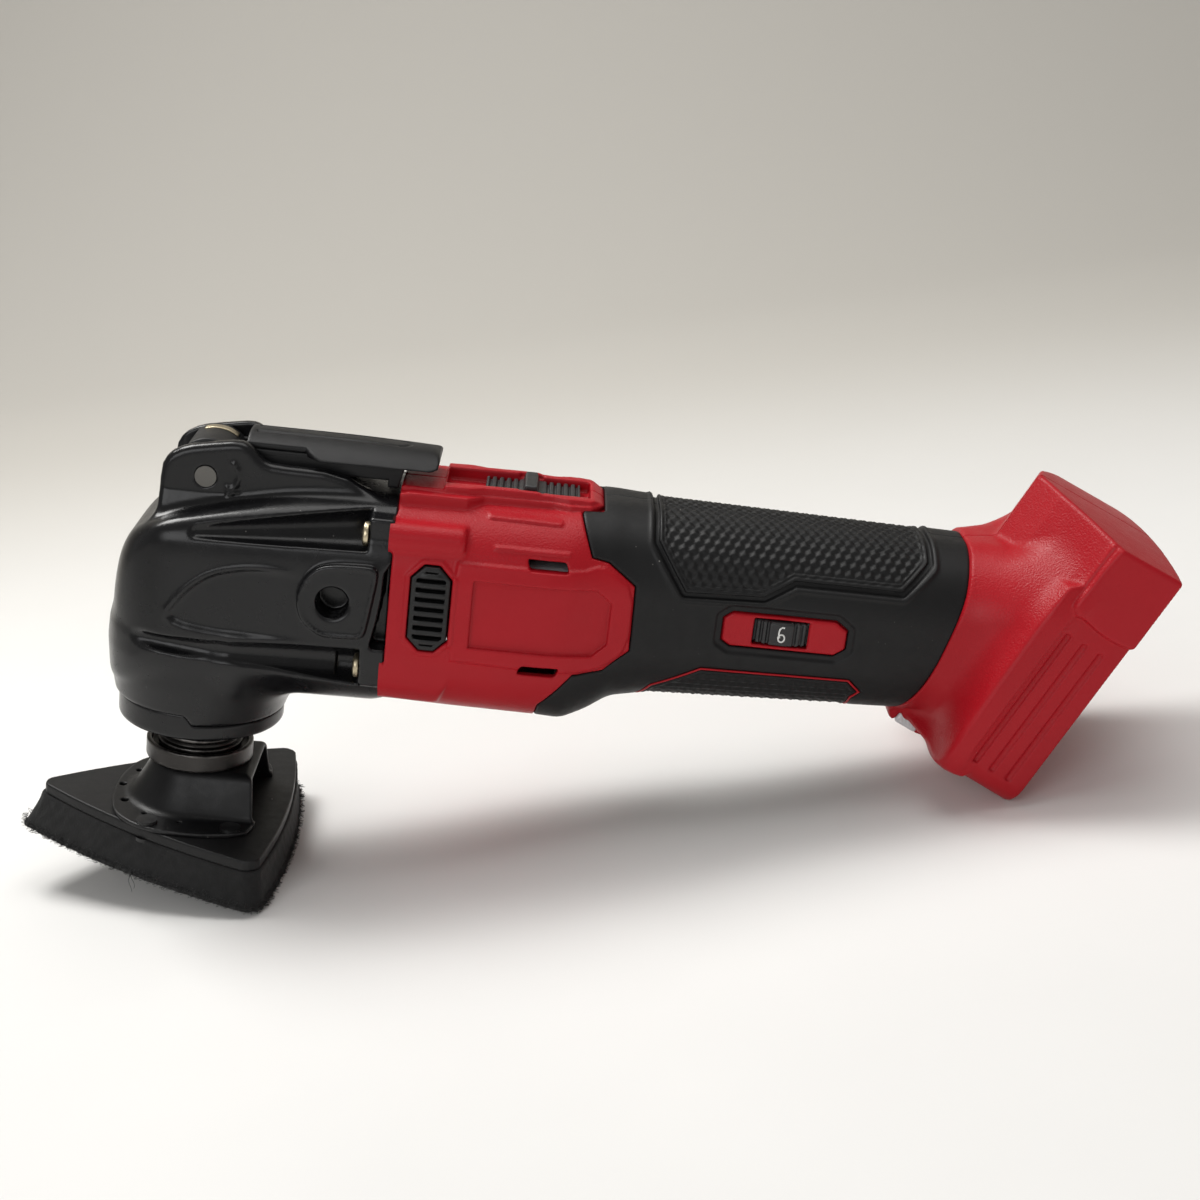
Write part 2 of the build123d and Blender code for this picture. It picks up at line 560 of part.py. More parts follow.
# end cap with a brush holder above and below the commutator
cap = (on_motor(110.04, 123.5, MOTOR_R - 0.05) - on_motor(109, 120.5, 18.6)
       - on_motor(119, 125, 4.6))
for z0, z1 in ((AXIS_Z + 8.0, AXIS_Z + 19.0), (AXIS_Z - 19.0, AXIS_Z - 8.0)):
    cap += mid_box(110.8, 121, 4.4, z0, z1) - mid_box(111.9, 117.5, 2.83, z0 - 1, z1 + 1)
parts["motor_end_cap"] = cap
parts["rear_bush"] = on_motor(120.6, 123.4, 4.55) - on_motor(119, 125, SHAFT_R + RUN)
parts["carbon_brushes"] = group([
    mid_box(112, 117.4, 2.8, AXIS_Z + 7.03, AXIS_Z + 15.0),
    mid_box(112, 117.4, 2.8, AXIS_Z - 15.0, AXIS_Z - 7.03)])
parts["brush_springs"] = group([
    mid_box(113.2, 116.2, 2.0, AXIS_Z + 15.05, AXIS_Z + 18.4),
    mid_box(113.2, 116.2, 2.0, AXIS_Z - 18.4, AXIS_Z - 15.05)])

# eccentric journal with its balance weight, and the ball bearing that drives the fork
eccentric = (on_motor(36.2, 45.85, 5.8) + on_motor(45.5, 46.85, 4.6)
             + on_eccentric(23.0, 36.4, 4.0) - on_motor(36.25, 50, SHAFT_BORE))
eccentric += ((on_motor(37.5, 43.0, 13.0) - on_motor(36, 44, 5.0))
              & mid_box(37, 44, 14, AXIS_Z - 14, AXIS_Z - 1))
parts["eccentric"] = eccentric
inner, outer, balls = bearing(on_eccentric, around_x(27.0, AXIS_Z + ECCENTRICITY), 24.0, 30.0,
                              4.0 + FIT, DRIVE_BEARING_R, wall=1.1, count=8)
parts["eccentric_bearing"] = group([inner, outer] + balls)

# ================================================================ slide switch
SLIDER_SIDE = [(77.2, 121.05), (77.2, 122.0), (87.6, 122.0), (88.2, 123.8), (91.6, 123.8),
               (92.6, 122.0), (104.2, 122.0), (104.2, 121.05)]
slider = prism_y(SLIDER_SIDE, -7.6, 7.6)
for i in range(4):
    for x in (79.0 + 2.0 * i, 94.6 + 2.0 * i):
        slider -= mid_box(x, x + 0.8, 8, 121.6, 123)
slider += mid_box(94, 98, 3.0, 116.6, 121.2)
parts["switch_slider"] = slider
parts["switch_link"] = (mid_box(92, 138.6, 3.0, 115.2, 116.55)
                        + mid_box(136.6, 138.6, 3.0, 111.4, 116.0))
parts["switch_body"] = (mid_box(124.4, 148, 8, 97.5, 113.0)
                        - mid_box(125.4, 140.6, 3.4, 110.9, 114))

# ================================================================ control board and dial
BOARD_TOP = 78.0
ON_BOARD = BOARD_TOP + GAP
DIAL_SHAFT_R = 2.0
parts["circuit_board"] = mid_box(150, 200, 15.5, 76.4, BOARD_TOP)
parts["board_components"] = group([
    cyl_z(190, -7, ON_BOARD, 92, 4.0), cyl_z(190, 7, ON_BOARD, 90, 4.0),
    box(174, 184, -1, 10, ON_BOARD, 82), box(152, 156, -10, 12, ON_BOARD, 86),
    box(176, 182, -12, -6, ON_BOARD, 84)])
parts["speed_potentiometer"] = (
    box(DIAL_X - 6, DIAL_X + 6, DIAL_Y - 3.4, DIAL_Y + 6, ON_BOARD, 87.6)
    - cyl_z(DIAL_X, DIAL_Y, 80, 90, DIAL_SHAFT_R + RUN))

wheel = cyl_z(DIAL_X, DIAL_Y, 88.7, 95.7, DIAL_R)
for i in range(48):
    if 35 <= i <= 37:    # plain stretch facing -Y
        continue
    angle = radians(7.5 * i)
    wheel -= cyl_z(DIAL_X + (DIAL_R + 0.15) * cos(angle),
                   DIAL_Y + (DIAL_R + 0.15) * sin(angle), 88, 97, 0.62)
wheel -= cyl_z(DIAL_X, DIAL_Y, 88, 97, DIAL_SHAFT_R + FIT)
parts["speed_dial"] = wheel
parts["dial_shaft"] = cyl_z(DIAL_X, DIAL_Y, 80.4, 96.4, DIAL_SHAFT_R)

# ================================================================ wiring
LEAD_R = 1.1
# Corner points of each lead: two from motor to board, two from switch to battery foot.
LEADS = [
    [(124.0, 12.5, 97), (129, 12.5, 97), (150, 12.5, 97), (153.6, 10, 90), (153.6, 10, 86.1)],
    [(124.0, 12.5, 87), (129, 12.5, 87), (146, 12.5, 90), (153.4, 5, 90), (153.4, 5, 86.1)],
    [(148.05, 4, 105), (156, 4, 105), (188, 4, 103), foot_point(208, 168, y=4)],
    [(148.05, -4, 103), (156, -4, 103), (186, -4, 98), foot_point(204, 168, y=-4)]]


def lead(points):
    """Straight round runs with a ball at each bend."""
    runs = []
    for start, end in zip(points[:-1], points[1:]):
        run = Vector(*end) - Vector(*start)
        runs.append(extrude(Plane(origin=start, z_dir=run) * Circle(LEAD_R), amount=run.length))
    return fuse(runs + [Pos(*point) * Sphere(LEAD_R) for point in points[1:-1]])


parts["lead_wires"] = group(lead(points) for points in LEADS)

# ================================================================ battery contacts and lamp
BLADES_Y = (-13.5, -6.0, 6.0, 13.5)
terminal = foot_box(200.05, 219.9, 18, 170.6, 183.0)
for y in BLADES_Y:
    terminal -= foot_box(199, 212, 0.43, 176.9, 182.1, y=y)
parts["terminal_block"] = terminal
parts["contact_blades"] = group(foot_box(188, 211.9, 0.4, 177.0, 182.0, y=y) for y in BLADES_Y)
parts["lamp_lens"] = foot_box(146.6, 150.0, 4.95, 155.55, 162.45)
parts["lamp_module"] = foot_box(150.1, 153.6, 4.8, 155.7, 162.3)

# ================================================================ resting pose and export
# nose-up angle of the tool when the pad's heel and the foot's lower corner share one table
heel_x = max(x for x, y in HOOK_OUTLINE)
corner_x, _, corner_z = foot_point(FOOT_S0, FOOT_N)
rest_turn = Rot(0, degrees(atan2(corner_z, corner_x - heel_x)), 0)

# centre the tool along X and set its lowest point on z = 0
bounds = [(rest_turn * shape).bounding_box() for shape in parts.values()]
shift_x = -(min(b.min.X for b in bounds) + max(b.max.X for b in bounds)) / 2
shift_z = -min(b.min.Z for b in bounds)
for name, shape in parts.items():
    export_step(Location((shift_x, 0, shift_z)) * rest_turn * shape, f"parts/{name}.step")
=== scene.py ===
"""Cordless oscillating sander with a triangular pad, on a pale curved studio floor.

Shapes are signed distance fields in the tool frame, in millimetres: x runs from the spindle (0)
back to the battery foot, y runs across (left is -y), z runs up from the underside of the pad.
to_scene() tilts and shifts tool points into the scene frame of the CAD pieces, in metres.
"""
import bpy
import itertools
import json
import math
import numpy as np
from mathutils import Matrix, Vector


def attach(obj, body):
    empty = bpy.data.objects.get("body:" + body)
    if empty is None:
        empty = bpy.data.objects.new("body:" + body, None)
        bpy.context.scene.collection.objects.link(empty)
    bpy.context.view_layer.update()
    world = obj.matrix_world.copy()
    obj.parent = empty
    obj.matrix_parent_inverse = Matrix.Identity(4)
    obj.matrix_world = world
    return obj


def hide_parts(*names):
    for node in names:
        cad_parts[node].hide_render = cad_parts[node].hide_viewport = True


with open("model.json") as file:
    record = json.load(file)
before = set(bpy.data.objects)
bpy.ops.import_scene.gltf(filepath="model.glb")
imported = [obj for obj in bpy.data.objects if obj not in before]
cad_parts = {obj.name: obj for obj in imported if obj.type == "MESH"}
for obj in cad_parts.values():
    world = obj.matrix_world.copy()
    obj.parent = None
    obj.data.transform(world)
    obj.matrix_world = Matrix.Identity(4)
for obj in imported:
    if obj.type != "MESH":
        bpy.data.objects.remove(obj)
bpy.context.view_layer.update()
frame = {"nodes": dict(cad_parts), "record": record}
JOINTS = {joint["name"]: joint for joint in frame["record"]["behaviour"]["joints"]}

# ------------------------------------------------------------------ driving dimensions (mm)
GRID_SCALE = 1.0     # coarser sampling grid for quick builds
SIDES = ((-1, "left"), (1, "right"))
PIVOT_Z = 117.6                             # lever pivot, above the spindle axis
BODY_Z = 92.95                              # mid-height of the motor housing
HOUSING_FRONT = 54.05                       # x of the motor housing's front face
HOUSING_SPLIT = 125.0                       # x where each housing half is divided in two meshes
FOOT_ANGLE = math.radians(64.0)             # slope of the battery foot
FOOT_COS, FOOT_SIN = math.cos(FOOT_ANGLE), math.sin(FOOT_ANGLE)
HANDLE_X, HANDLE_Z = 38.6, 89.8             # threaded hole for the side handle
HEAD_SCREWS = ((23.2, 108.6), (24.3, 70.4))     # (distance from middle plane, z)
HEAD_SCREW_X = 43.6
CASE_HOLES = ((66.5, 62.6), (103.0, 62.6), (131.5, 73.6),
              (193.5, 110.8), (221.5, 76.5), (244.3, 122.3))    # (x, z)
WHEEL_X, WHEEL_Y, WHEEL_Z = 163.5, -11.2, 92.2      # speed wheel centre
WHEEL_RADIUS, WHEEL_HALF, WHEEL_GAP = 15.0, 3.5, 0.45
PAD_HOLE_X, PAD_HOLE_Y = 13.5, 24.0         # screw holes through holder and pad plate
HEXAGON_CELL = 2.85                         # spacing of the grip's raised cells

# ------------------------------------------------------------------ tool frame to scene frame
spindle_axis = JOINTS["spindle_oscillation"]["axis"]
pivot = JOINTS["lever_swing"]["pos_m"]
TILT = math.atan2(spindle_axis[0], spindle_axis[2])
TILT_COS, TILT_SIN = math.cos(TILT), math.sin(TILT)
SHIFT_X = pivot[0] * 1000 - PIVOT_Z * TILT_SIN
SHIFT_Z = pivot[2] * 1000 - PIVOT_Z * TILT_COS


def to_scene(points):
    points = np.asarray(points, dtype=np.float64)
    placed = np.empty_like(points)
    placed[:, 0] = (points[:, 0] * TILT_COS + points[:, 2] * TILT_SIN + SHIFT_X) / 1000.0
    placed[:, 1] = points[:, 1] / 1000.0
    placed[:, 2] = (-points[:, 0] * TILT_SIN + points[:, 2] * TILT_COS + SHIFT_Z) / 1000.0
    return placed


def foot_axes(x, z):
    """Battery foot coordinates: rise climbs along the foot, back points out of its rear face."""
    return FOOT_COS * x + FOOT_SIN * z, FOOT_SIN * x - FOOT_COS * z


# ------------------------------------------------------------------ distance-field toolkit
def soft_min(first, second, blend):
    mix = np.clip(0.5 + 0.5 * (second - first) / blend, 0, 1)
    return second * (1 - mix) + first * mix - blend * mix * (1 - mix)


# join, meet and cut take a shape, then any number of (other shape, blend width) in turn
def join(shape, *others):
    for other, blend in zip(others[::2], others[1::2]):
        shape = soft_min(shape, other, blend)
    return shape


def meet(shape, *others):
    for other, blend in zip(others[::2], others[1::2]):
        shape = -soft_min(-shape, -other, blend)
    return shape


def cut(shape, *others):
    for other, blend in zip(others[::2], others[1::2]):
        shape = -soft_min(-shape, other, blend)
    return shape


def fade(start, end, value):
    """Smooth step from 0 at start to 1 at end."""
    part = np.clip((value - start) / (end - start), 0, 1)
    return part * part * (3 - 2 * part)


def ridge(value, width):
    return np.exp(-(value / width) ** 2)


def dist(u, v, centre_u=0.0, centre_v=0.0):
    return np.sqrt((u - centre_u) ** 2 + (v - centre_v) ** 2)


def band(value, centre, half):
    return np.abs(value - centre) - half


def off_pitch(value, pitch):
    """Distance to the nearest multiple of the pitch."""
    turns = value / pitch
    return np.abs(turns - np.round(turns)) * pitch


def rounded(points, rounds=2):
    """Cut the corners of a closed outline."""
    points = np.asarray(points, float)
    for _ in range(rounds):
        following = np.roll(points, -1, axis=0)
        pair = [0.78 * points + 0.22 * following, 0.22 * points + 0.78 * following]
        points = np.stack(pair, axis=1).reshape(-1, 2)
    return points


def polygon(u, v, outline):
    outline = np.asarray(outline, float)
    u, v = np.broadcast_arrays(u, v)
    nearest = np.full(u.shape, 1e9)
    sign = np.ones(u.shape)
    for i in range(len(outline)):
        here, last = outline[i], outline[i - 1]
        edge_u, edge_v = last - here
        from_u, from_v = u - here[0], v - here[1]
        part = np.clip((from_u * edge_u + from_v * edge_v)
                       / (edge_u * edge_u + edge_v * edge_v + 1e-12), 0, 1)
        gap_u, gap_v = from_u - edge_u * part, from_v - edge_v * part
        nearest = np.minimum(nearest, gap_u * gap_u + gap_v * gap_v)
        above, below = v >= here[1], v < last[1]
        left = edge_u * from_v > edge_v * from_u
        sign = np.where((above & below & left) | (~above & ~below & ~left), -sign, sign)
    return sign * np.sqrt(nearest)


def rect(u, v, centre_u, centre_v, half_u, half_v, radius):
    over_u = np.abs(u - centre_u) - (half_u - radius)
    over_v = np.abs(v - centre_v) - (half_v - radius)
    return (np.sqrt(np.maximum(over_u, 0) ** 2 + np.maximum(over_v, 0) ** 2)
            + np.minimum(np.maximum(over_u, over_v), 0) - radius)


def box(x, y, z, x0, x1, y0, y1, z0, z1, radius):
    over = [np.abs(value - (low + high) / 2) - ((high - low) / 2 - radius)
            for value, low, high in ((x, x0, x1), (y, y0, y1), (z, z0, z1))]
    outside = np.sqrt(np.maximum(over[0], 0) ** 2 + np.maximum(over[1], 0) ** 2
                      + np.maximum(over[2], 0) ** 2)
    return outside + np.minimum(np.maximum(np.maximum(over[0], over[1]), over[2]), 0) - radius


def taper(x, y, z, start, end, start_radius, end_radius):
    """Round-ended rod whose radius changes along its length."""
    start, end = np.asarray(start, float), np.asarray(end, float)
    run = end - start
    part = np.clip(((x - start[0]) * run[0] + (y - start[1]) * run[1] + (z - start[2]) * run[2])
                   / (run @ run), 0, 1)
    return np.sqrt((x - start[0] - part * run[0]) ** 2 + (y - start[1] - part * run[1]) ** 2
                   + (z - start[2] - part * run[2]) ** 2) \
        - (start_radius + (end_radius - start_radius) * part)


def profile(stations, values, sigma=2.0):
    """Function that reads a station table smoothed with a Gaussian of width sigma."""
    fine = np.arange(stations[0] - 30, stations[-1] + 30, 0.25)
    kernel = np.exp(-0.5 * (np.arange(-40, 41) * 0.25 / sigma) ** 2)
    kernel /= kernel.sum()
    padded = np.pad(np.interp(fine, stations, values), 40, mode="edge")
    smoothed = np.convolve(padded, kernel, mode="valid")
    return lambda value: np.interp(value, fine, smoothed)


# ------------------------------------------------------------------ meshing
CORNERS = list(itertools.product((0, 1), repeat=3))


def surface_nets(field, low, step):
    """One vertex in each cell the surface crosses, one quad on each crossed grid edge."""
    count_x, count_y, count_z = field.shape
    inside = field < 0
    corners_in = [inside[a:count_x - 1 + a, b:count_y - 1 + b, c:count_z - 1 + c]
                  for a, b, c in CORNERS]
    active = np.logical_or.reduce(corners_in) & ~np.logical_and.reduce(corners_in)
    cells = np.argwhere(active)
    index = np.full(active.shape, -1, np.int64)
    index[tuple(cells.T)] = np.arange(len(cells))
    offsets = np.array(CORNERS)
    values = np.stack([field[tuple((cells + offset).T)] for offset in offsets], 1)
    total = np.zeros((len(cells), 3))
    count = np.zeros(len(cells))
    for a, b in itertools.combinations(range(8), 2):
        if np.abs(offsets[a] - offsets[b]).sum() != 1:
            continue
        value_a, value_b = values[:, a], values[:, b]
        crossed = (value_a < 0) != (value_b < 0)
        part = np.where(crossed, value_a / np.where(crossed, value_a - value_b, 1), 0)
        total += crossed[:, None] * (offsets[a] + part[:, None] * (offsets[b] - offsets[a]))
        count += crossed
    points = (cells + total / count[:, None]) * step + low
    quads = []
    for axis in range(3):
        across = [other for other in range(3) if other != axis]
        interior = [slice(1, -1)] * 3
        interior[axis] = slice(None)
        edges = np.argwhere(np.diff(inside, axis=axis)[tuple(interior)])
        edges[:, across] += 1
        ring = []
        for shift in ((-1, -1), (0, -1), (0, 0), (-1, 0)):
            cell = edges.copy()
            cell[:, across] += shift
            ring.append(index[tuple(cell.T)])
        ring = np.stack(ring, 1)
        turned = inside[tuple(edges.T)] == (axis == 1)
        ring[turned] = ring[turned][:, ::-1]
        quads.append(ring)
    return points, np.concatenate(quads)


def quad_object(name, points, quads):
    mesh = bpy.data.meshes.new(name)
    mesh.vertices.add(len(points))
    mesh.vertices.foreach_set("co", np.asarray(points, np.float32).ravel())
    mesh.loops.add(quads.size)
    mesh.loops.foreach_set("vertex_index", quads.astype(np.int32).ravel())
    mesh.polygons.add(len(quads))
    mesh.polygons.foreach_set("loop_start", np.arange(0, quads.size, 4, dtype=np.int32))
    mesh.polygons.foreach_set("use_smooth", np.full(len(quads), True))
    mesh.update(calc_edges=True)
    mesh.validate()
    built = bpy.data.objects.new(name, mesh)
    bpy.context.scene.collection.objects.link(built)
    return built


def piece(name, field, bounds, step, finish_name, body, *nodes):
    """Closed shell where field(x, y, z) < 0; bounds are (low, high) for each axis."""
    step *= GRID_SCALE
    low, high = np.array(bounds, float).T
    counts = np.ceil((high - low) / step).astype(int) + 1
    grid_x, grid_y, grid_z = (low[axis] + step * np.arange(counts[axis]) for axis in range(3))
    sampled = field(grid_x[:, None, None], grid_y[None, :, None], grid_z[None, None, :])
    sampled = np.broadcast_to(sampled, tuple(counts)).astype(np.float32)
    points, quads = surface_nets(sampled, low, step)
    nudge = 0.04
    for _ in range(3):      # pull the vertices onto the true surface
        x, y, z = points.T
        value = field(x, y, z)
        slope = np.stack([field(x + nudge, y, z) - field(x - nudge, y, z),
                          field(x, y + nudge, z) - field(x, y - nudge, z),
                          field(x, y, z + nudge) - field(x, y, z - nudge)], 1) / (2 * nudge)
        move = -(value / ((slope ** 2).sum(1) + 0.05))[:, None] * slope
        length = np.linalg.norm(move, axis=1)
        move *= np.minimum(1, 0.35 * step / np.maximum(length, 1e-9))[:, None]
        points = points + move
    built = quad_object(name, to_scene(points), quads)
    built.data.materials.append(MATERIALS[finish_name])
    if nodes:
        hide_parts(*nodes)
    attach(built, body)


def side_span(side, outer, inner):
    """y range of one side; inner is how far it reaches over the middle plane."""
    return (-outer, inner) if side < 0 else (-inner, outer)


# ------------------------------------------------------------------ shader helpers
MATERIALS = {}


def feed(socket, value):
    """Link a socket, or set a plain value."""
    if isinstance(value, bpy.types.NodeSocket):
        socket.id_data.links.new(value, socket)
    else:
        socket.default_value = value


def new_material(name):
    material = bpy.data.materials.new(name)
    material.use_nodes = True
    tree = material.node_tree
    tree.nodes.clear()
    output = tree.nodes.new("ShaderNodeOutputMaterial")
    shader = tree.nodes.new("ShaderNodeBsdfPrincipled")
    feed(output.inputs[0], shader.outputs[0])
    return material, tree, shader


def add_node(tree, kind, **inputs):
    made = tree.nodes.new("ShaderNode" + kind)
    for key, value in inputs.items():
        feed(made.inputs[key], value)
    return made


def ramp(source, *stops):
    """Colour ramp; each stop is (position, grey value or RGB)."""
    made = source.id_data.nodes.new("ShaderNodeValToRGB")
    elements = made.color_ramp.elements
    while len(elements) > 1:
        elements.remove(elements[0])
    for i, (position, colour) in enumerate(stops):
        stop = elements.new(position) if i else elements[0]
        stop.position = position
        rgb = (colour,) * 3 if isinstance(colour, (int, float)) else tuple(colour)
        stop.color = rgb + (1,)
    feed(made.inputs[0], source)
    return made.outputs[0]


def math_node(operation, first, second, clamp=False):
    made = first.id_data.nodes.new("ShaderNodeMath")
    made.operation = operation
    made.use_clamp = clamp
    feed(made.inputs[0], first)
    feed(made.inputs[1], second)
    return made.outputs[0]


def product(result, *factors):
    for factor in factors:
        result = math_node("MULTIPLY", result, factor)
    return result


def mix_colour(amount, base, over):
    made = amount.id_data.nodes.new("ShaderNodeMix")
    made.data_type = "RGBA"
    feed(made.inputs[0], amount)
    feed(made.inputs[6], base)
    feed(made.inputs[7], tuple(over) + (1,))
    return made.outputs[2]


def finish(name, colour, rough, metal=0.0, grain_mm=0.3, grain=0.15, rough_var=0.06,
           colour_var=0.12, wear=0.0, wear_colour=None, dust=0.0, scratch=0.0, specular=0.5,
           coat=0.0, leather=False, smooth_sides=False, sheen=0.0):
    """Moulded or machined finish: grain, mottling, rubbed edges, dust specks, scratches."""
    material, tree, shader = new_material("mat_" + name)
    place = add_node(tree, "TexCoord").outputs["Object"]
    patches = add_node(tree, "TexNoise", Vector=place, Scale=28.0, Detail=3.0,
                       Roughness=0.6).outputs["Fac"]
    fine = add_node(tree, "TexNoise", Vector=place, Scale=1000.0 / grain_mm * 0.9, Detail=2.0,
                    Roughness=0.55).outputs["Fac"]
    mottle = add_node(tree, "TexNoise", Vector=place, Scale=260.0, Detail=4.0,
                      Roughness=0.65).outputs["Fac"]
    dark = [c * (1 - colour_var) for c in colour]
    light = [min(1, c * (1 + colour_var)) for c in colour]
    base = ramp(patches, (0.32, dark), (0.68, light))
    roughness = ramp(mottle, (0.3, max(0.02, rough - rough_var)),
                     (0.7, min(1, rough + rough_var)))
    if wear > 0:
        geometry = add_node(tree, "NewGeometry")
        edges = ramp(geometry.outputs["Pointiness"], (0.515, 0), (0.56, 1))
        broken = ramp(mottle, (0.42, 0.15), (0.6, 1))
        base = mix_colour(product(edges, broken, wear), base, wear_colour)
    if dust > 0:
        cells = add_node(tree, "TexVoronoi", Vector=place, Scale=520.0)
        specks = ramp(cells.outputs["Distance"], (0.07, 1), (0.12, 0))
        chosen = ramp(cells.outputs["Color"], (0.80, 0), (0.86, 1))
        gathered = ramp(patches, (0.5, 0.1), (0.62, 1))
        base = mix_colour(product(specks, chosen, gathered, dust), base, (0.42, 0.40, 0.37))
    if scratch > 0:
        stretched = add_node(tree, "Mapping", Vector=place, Scale=(1, 1, 26),
                             Rotation=(0.5, 0.9, 0.3))
        streaks = add_node(tree, "TexNoise", Vector=stretched.outputs[0], Scale=160.0,
                           Detail=5.0, Roughness=0.7)
        lines = ramp(streaks.outputs["Fac"], (0.60, 0), (0.70, 1))
        roughness = math_node("ADD", roughness, product(lines, 0.22 * scratch), clamp=True)
        base = mix_colour(product(lines, 0.35 * scratch), base,
                          [min(1, c * 1.8 + 0.06) for c in colour])
    for key, value in (("Base Color", base), ("Roughness", roughness), ("Metallic", metal),
                       ("Specular IOR Level", specular), ("Coat Weight", coat),
                       ("Coat Roughness", 0.25), ("Sheen Weight", sheen)):
        feed(shader.inputs[key], value)
    grain_bump = add_node(tree, "Bump", Strength=min(1.0, grain * 2),
                          Distance=0.00010 if smooth_sides else 0.00008)
    height = fine
    if leather:
        pebbles = add_node(tree, "TexVoronoi", Vector=place, Scale=1000.0 / grain_mm)
        pebbles.feature = "SMOOTH_F1"
        height = math_node("ADD", pebbles.outputs["Distance"], product(fine, 0.6))
    if smooth_sides:        # strong grain on upward faces only
        geometry = add_node(tree, "NewGeometry")
        normal = add_node(tree, "SeparateXYZ", Vector=geometry.outputs["Normal"])
        feed(grain_bump.inputs["Strength"], ramp(normal.outputs[2], (0.25, 0.22), (0.62, 0.95)))
    feed(grain_bump.inputs["Height"], height)
    mottle_bump = add_node(tree, "Bump", Strength=0.12, Distance=0.0002, Height=mottle,
                           Normal=grain_bump.outputs[0])
    feed(shader.inputs["Normal"], mottle_bump.outputs[0])
    MATERIALS[name] = material


# ------------------------------------------------------------------ materials
finish("red", (0.395, 0.0055, 0.0125), rough=0.40, grain_mm=0.50, grain=0.20, leather=True,
       smooth_sides=True, rough_var=0.05, colour_var=0.05, wear=0.08,
       wear_colour=(0.55, 0.02, 0.03), dust=0.22, specular=0.24)
finish("cast_black", (0.0055, 0.0055, 0.0062), rough=0.25, grain_mm=0.35, grain=0.10,
       rough_var=0.04, colour_var=0.15, wear=0.30, wear_colour=(0.026, 0.026, 0.028), dust=0.5,
       specular=0.36)
finish("lever_black", (0.0065, 0.0065, 0.0070), rough=0.42, grain=0.16, wear=0.22,
       wear_colour=(0.03, 0.03, 0.03), dust=0.4, specular=0.27)
finish("rubber", (0.0060, 0.0060, 0.0064), rough=0.50, grain_mm=0.22, grain=0.22,
       rough_var=0.07, wear=0.14, wear_colour=(0.020, 0.020, 0.021), dust=0.9, specular=0.30)
finish("vent", (0.0060, 0.0060, 0.0064), rough=0.40, wear=0.3,
       wear_colour=(0.035, 0.035, 0.035), dust=0.5, specular=0.4)
finish("dark_steel", (0.055, 0.052, 0.050), rough=0.34, metal=1.0, grain_mm=0.2, grain=0.12,
       scratch=0.9, wear=0.5, wear_colour=(0.40, 0.38, 0.36))
finish("bright_steel", (0.58, 0.56, 0.53), rough=0.28, metal=1.0, grain_mm=0.15, grain=0.10,
       scratch=0.7)
finish("yellow_zinc", (0.50, 0.43, 0.30), rough=0.32, metal=1.0, grain_mm=0.2, grain=0.12,
       scratch=0.4, colour_var=0.2)
finish("stamped_black", (0.0070, 0.0070, 0.0076), rough=0.38, grain_mm=0.4, grain=0.16,
       wear=0.45, wear_colour=(0.05, 0.05, 0.05), dust=0.8, specular=0.27)
finish("pad_plastic", (0.0075, 0.0075, 0.008), rough=0.45, grain_mm=0.35, grain=0.2, wear=0.3,
       wear_colour=(0.04, 0.04, 0.04), dust=0.9, specular=0.27)
finish("pad_foam", (0.0050, 0.0050, 0.0053), rough=0.9, grain_mm=0.6, grain=0.9, leather=True,
       colour_var=0.3, dust=0.8, sheen=0.05)
finish("hook_pile", (0.0065, 0.0065, 0.0068), rough=0.9, grain_mm=0.5, grain=1.0, leather=True,
       colour_var=0.3, sheen=0.12)
finish("switch", (0.013, 0.013, 0.014), rough=0.48, grain=0.2, wear=0.4,
       wear_colour=(0.10, 0.10, 0.10), dust=0.5)
finish("plain_black", (0.02, 0.02, 0.021), rough=0.45)
finish("alloy", (0.55, 0.56, 0.58), rough=0.34, metal=1.0, scratch=0.5)
finish("copper", (0.62, 0.26, 0.12), rough=0.3, metal=1.0, grain_mm=0.4, grain=0.4)
finish("brass", (0.70, 0.55, 0.26), rough=0.25, metal=1.0, grain_mm=0.2, grain=0.1, scratch=0.6)
finish("magnet", (0.06, 0.06, 0.065), rough=0.6, grain_mm=0.4, grain=0.3)
finish("laminations", (0.2, 0.2, 0.21), rough=0.4, metal=1.0, grain=0.4)
finish("board", (0.015, 0.11, 0.045), rough=0.3, grain_mm=0.8, grain=0.1, coat=0.3)
finish("components", (0.03, 0.03, 0.05), rough=0.3, grain_mm=0.5, grain=0.1)
finish("wire", (0.4, 0.02, 0.02), rough=0.35, grain_mm=0.5, grain=0.1)
finish("lamp", (0.85, 0.80, 0.55), rough=0.3, grain=0.1)
finish("seal", (0.01, 0.01, 0.011), rough=0.55, grain_mm=0.25, grain=0.2)


def lens_material():
    material, tree, shader = new_material("mat_lens")
    place = add_node(tree, "TexCoord").outputs["Object"]
    noise = add_node(tree, "TexNoise", Vector=place, Scale=700.0)
    waves = add_node(tree, "TexWave", Vector=place, Scale=330.0)
    bump = add_node(tree, "Bump", Strength=0.35, Distance=0.0002, Height=waves.outputs["Fac"])
    for key, value in (("Base Color", (0.93, 0.95, 0.97, 1)), ("Transmission Weight", 0.30),
                       ("IOR", 1.49), ("Normal", bump.outputs[0]),
                       ("Roughness", ramp(noise.outputs["Fac"], (0.3, 0.05), (0.7, 0.16)))):
        feed(shader.inputs[key], value)
    MATERIALS["lens"] = material


lens_material()
finish("pin_steel", (0.15, 0.145, 0.135), rough=0.38, metal=1.0, grain_mm=0.2, grain=0.12,
       scratch=0.6)

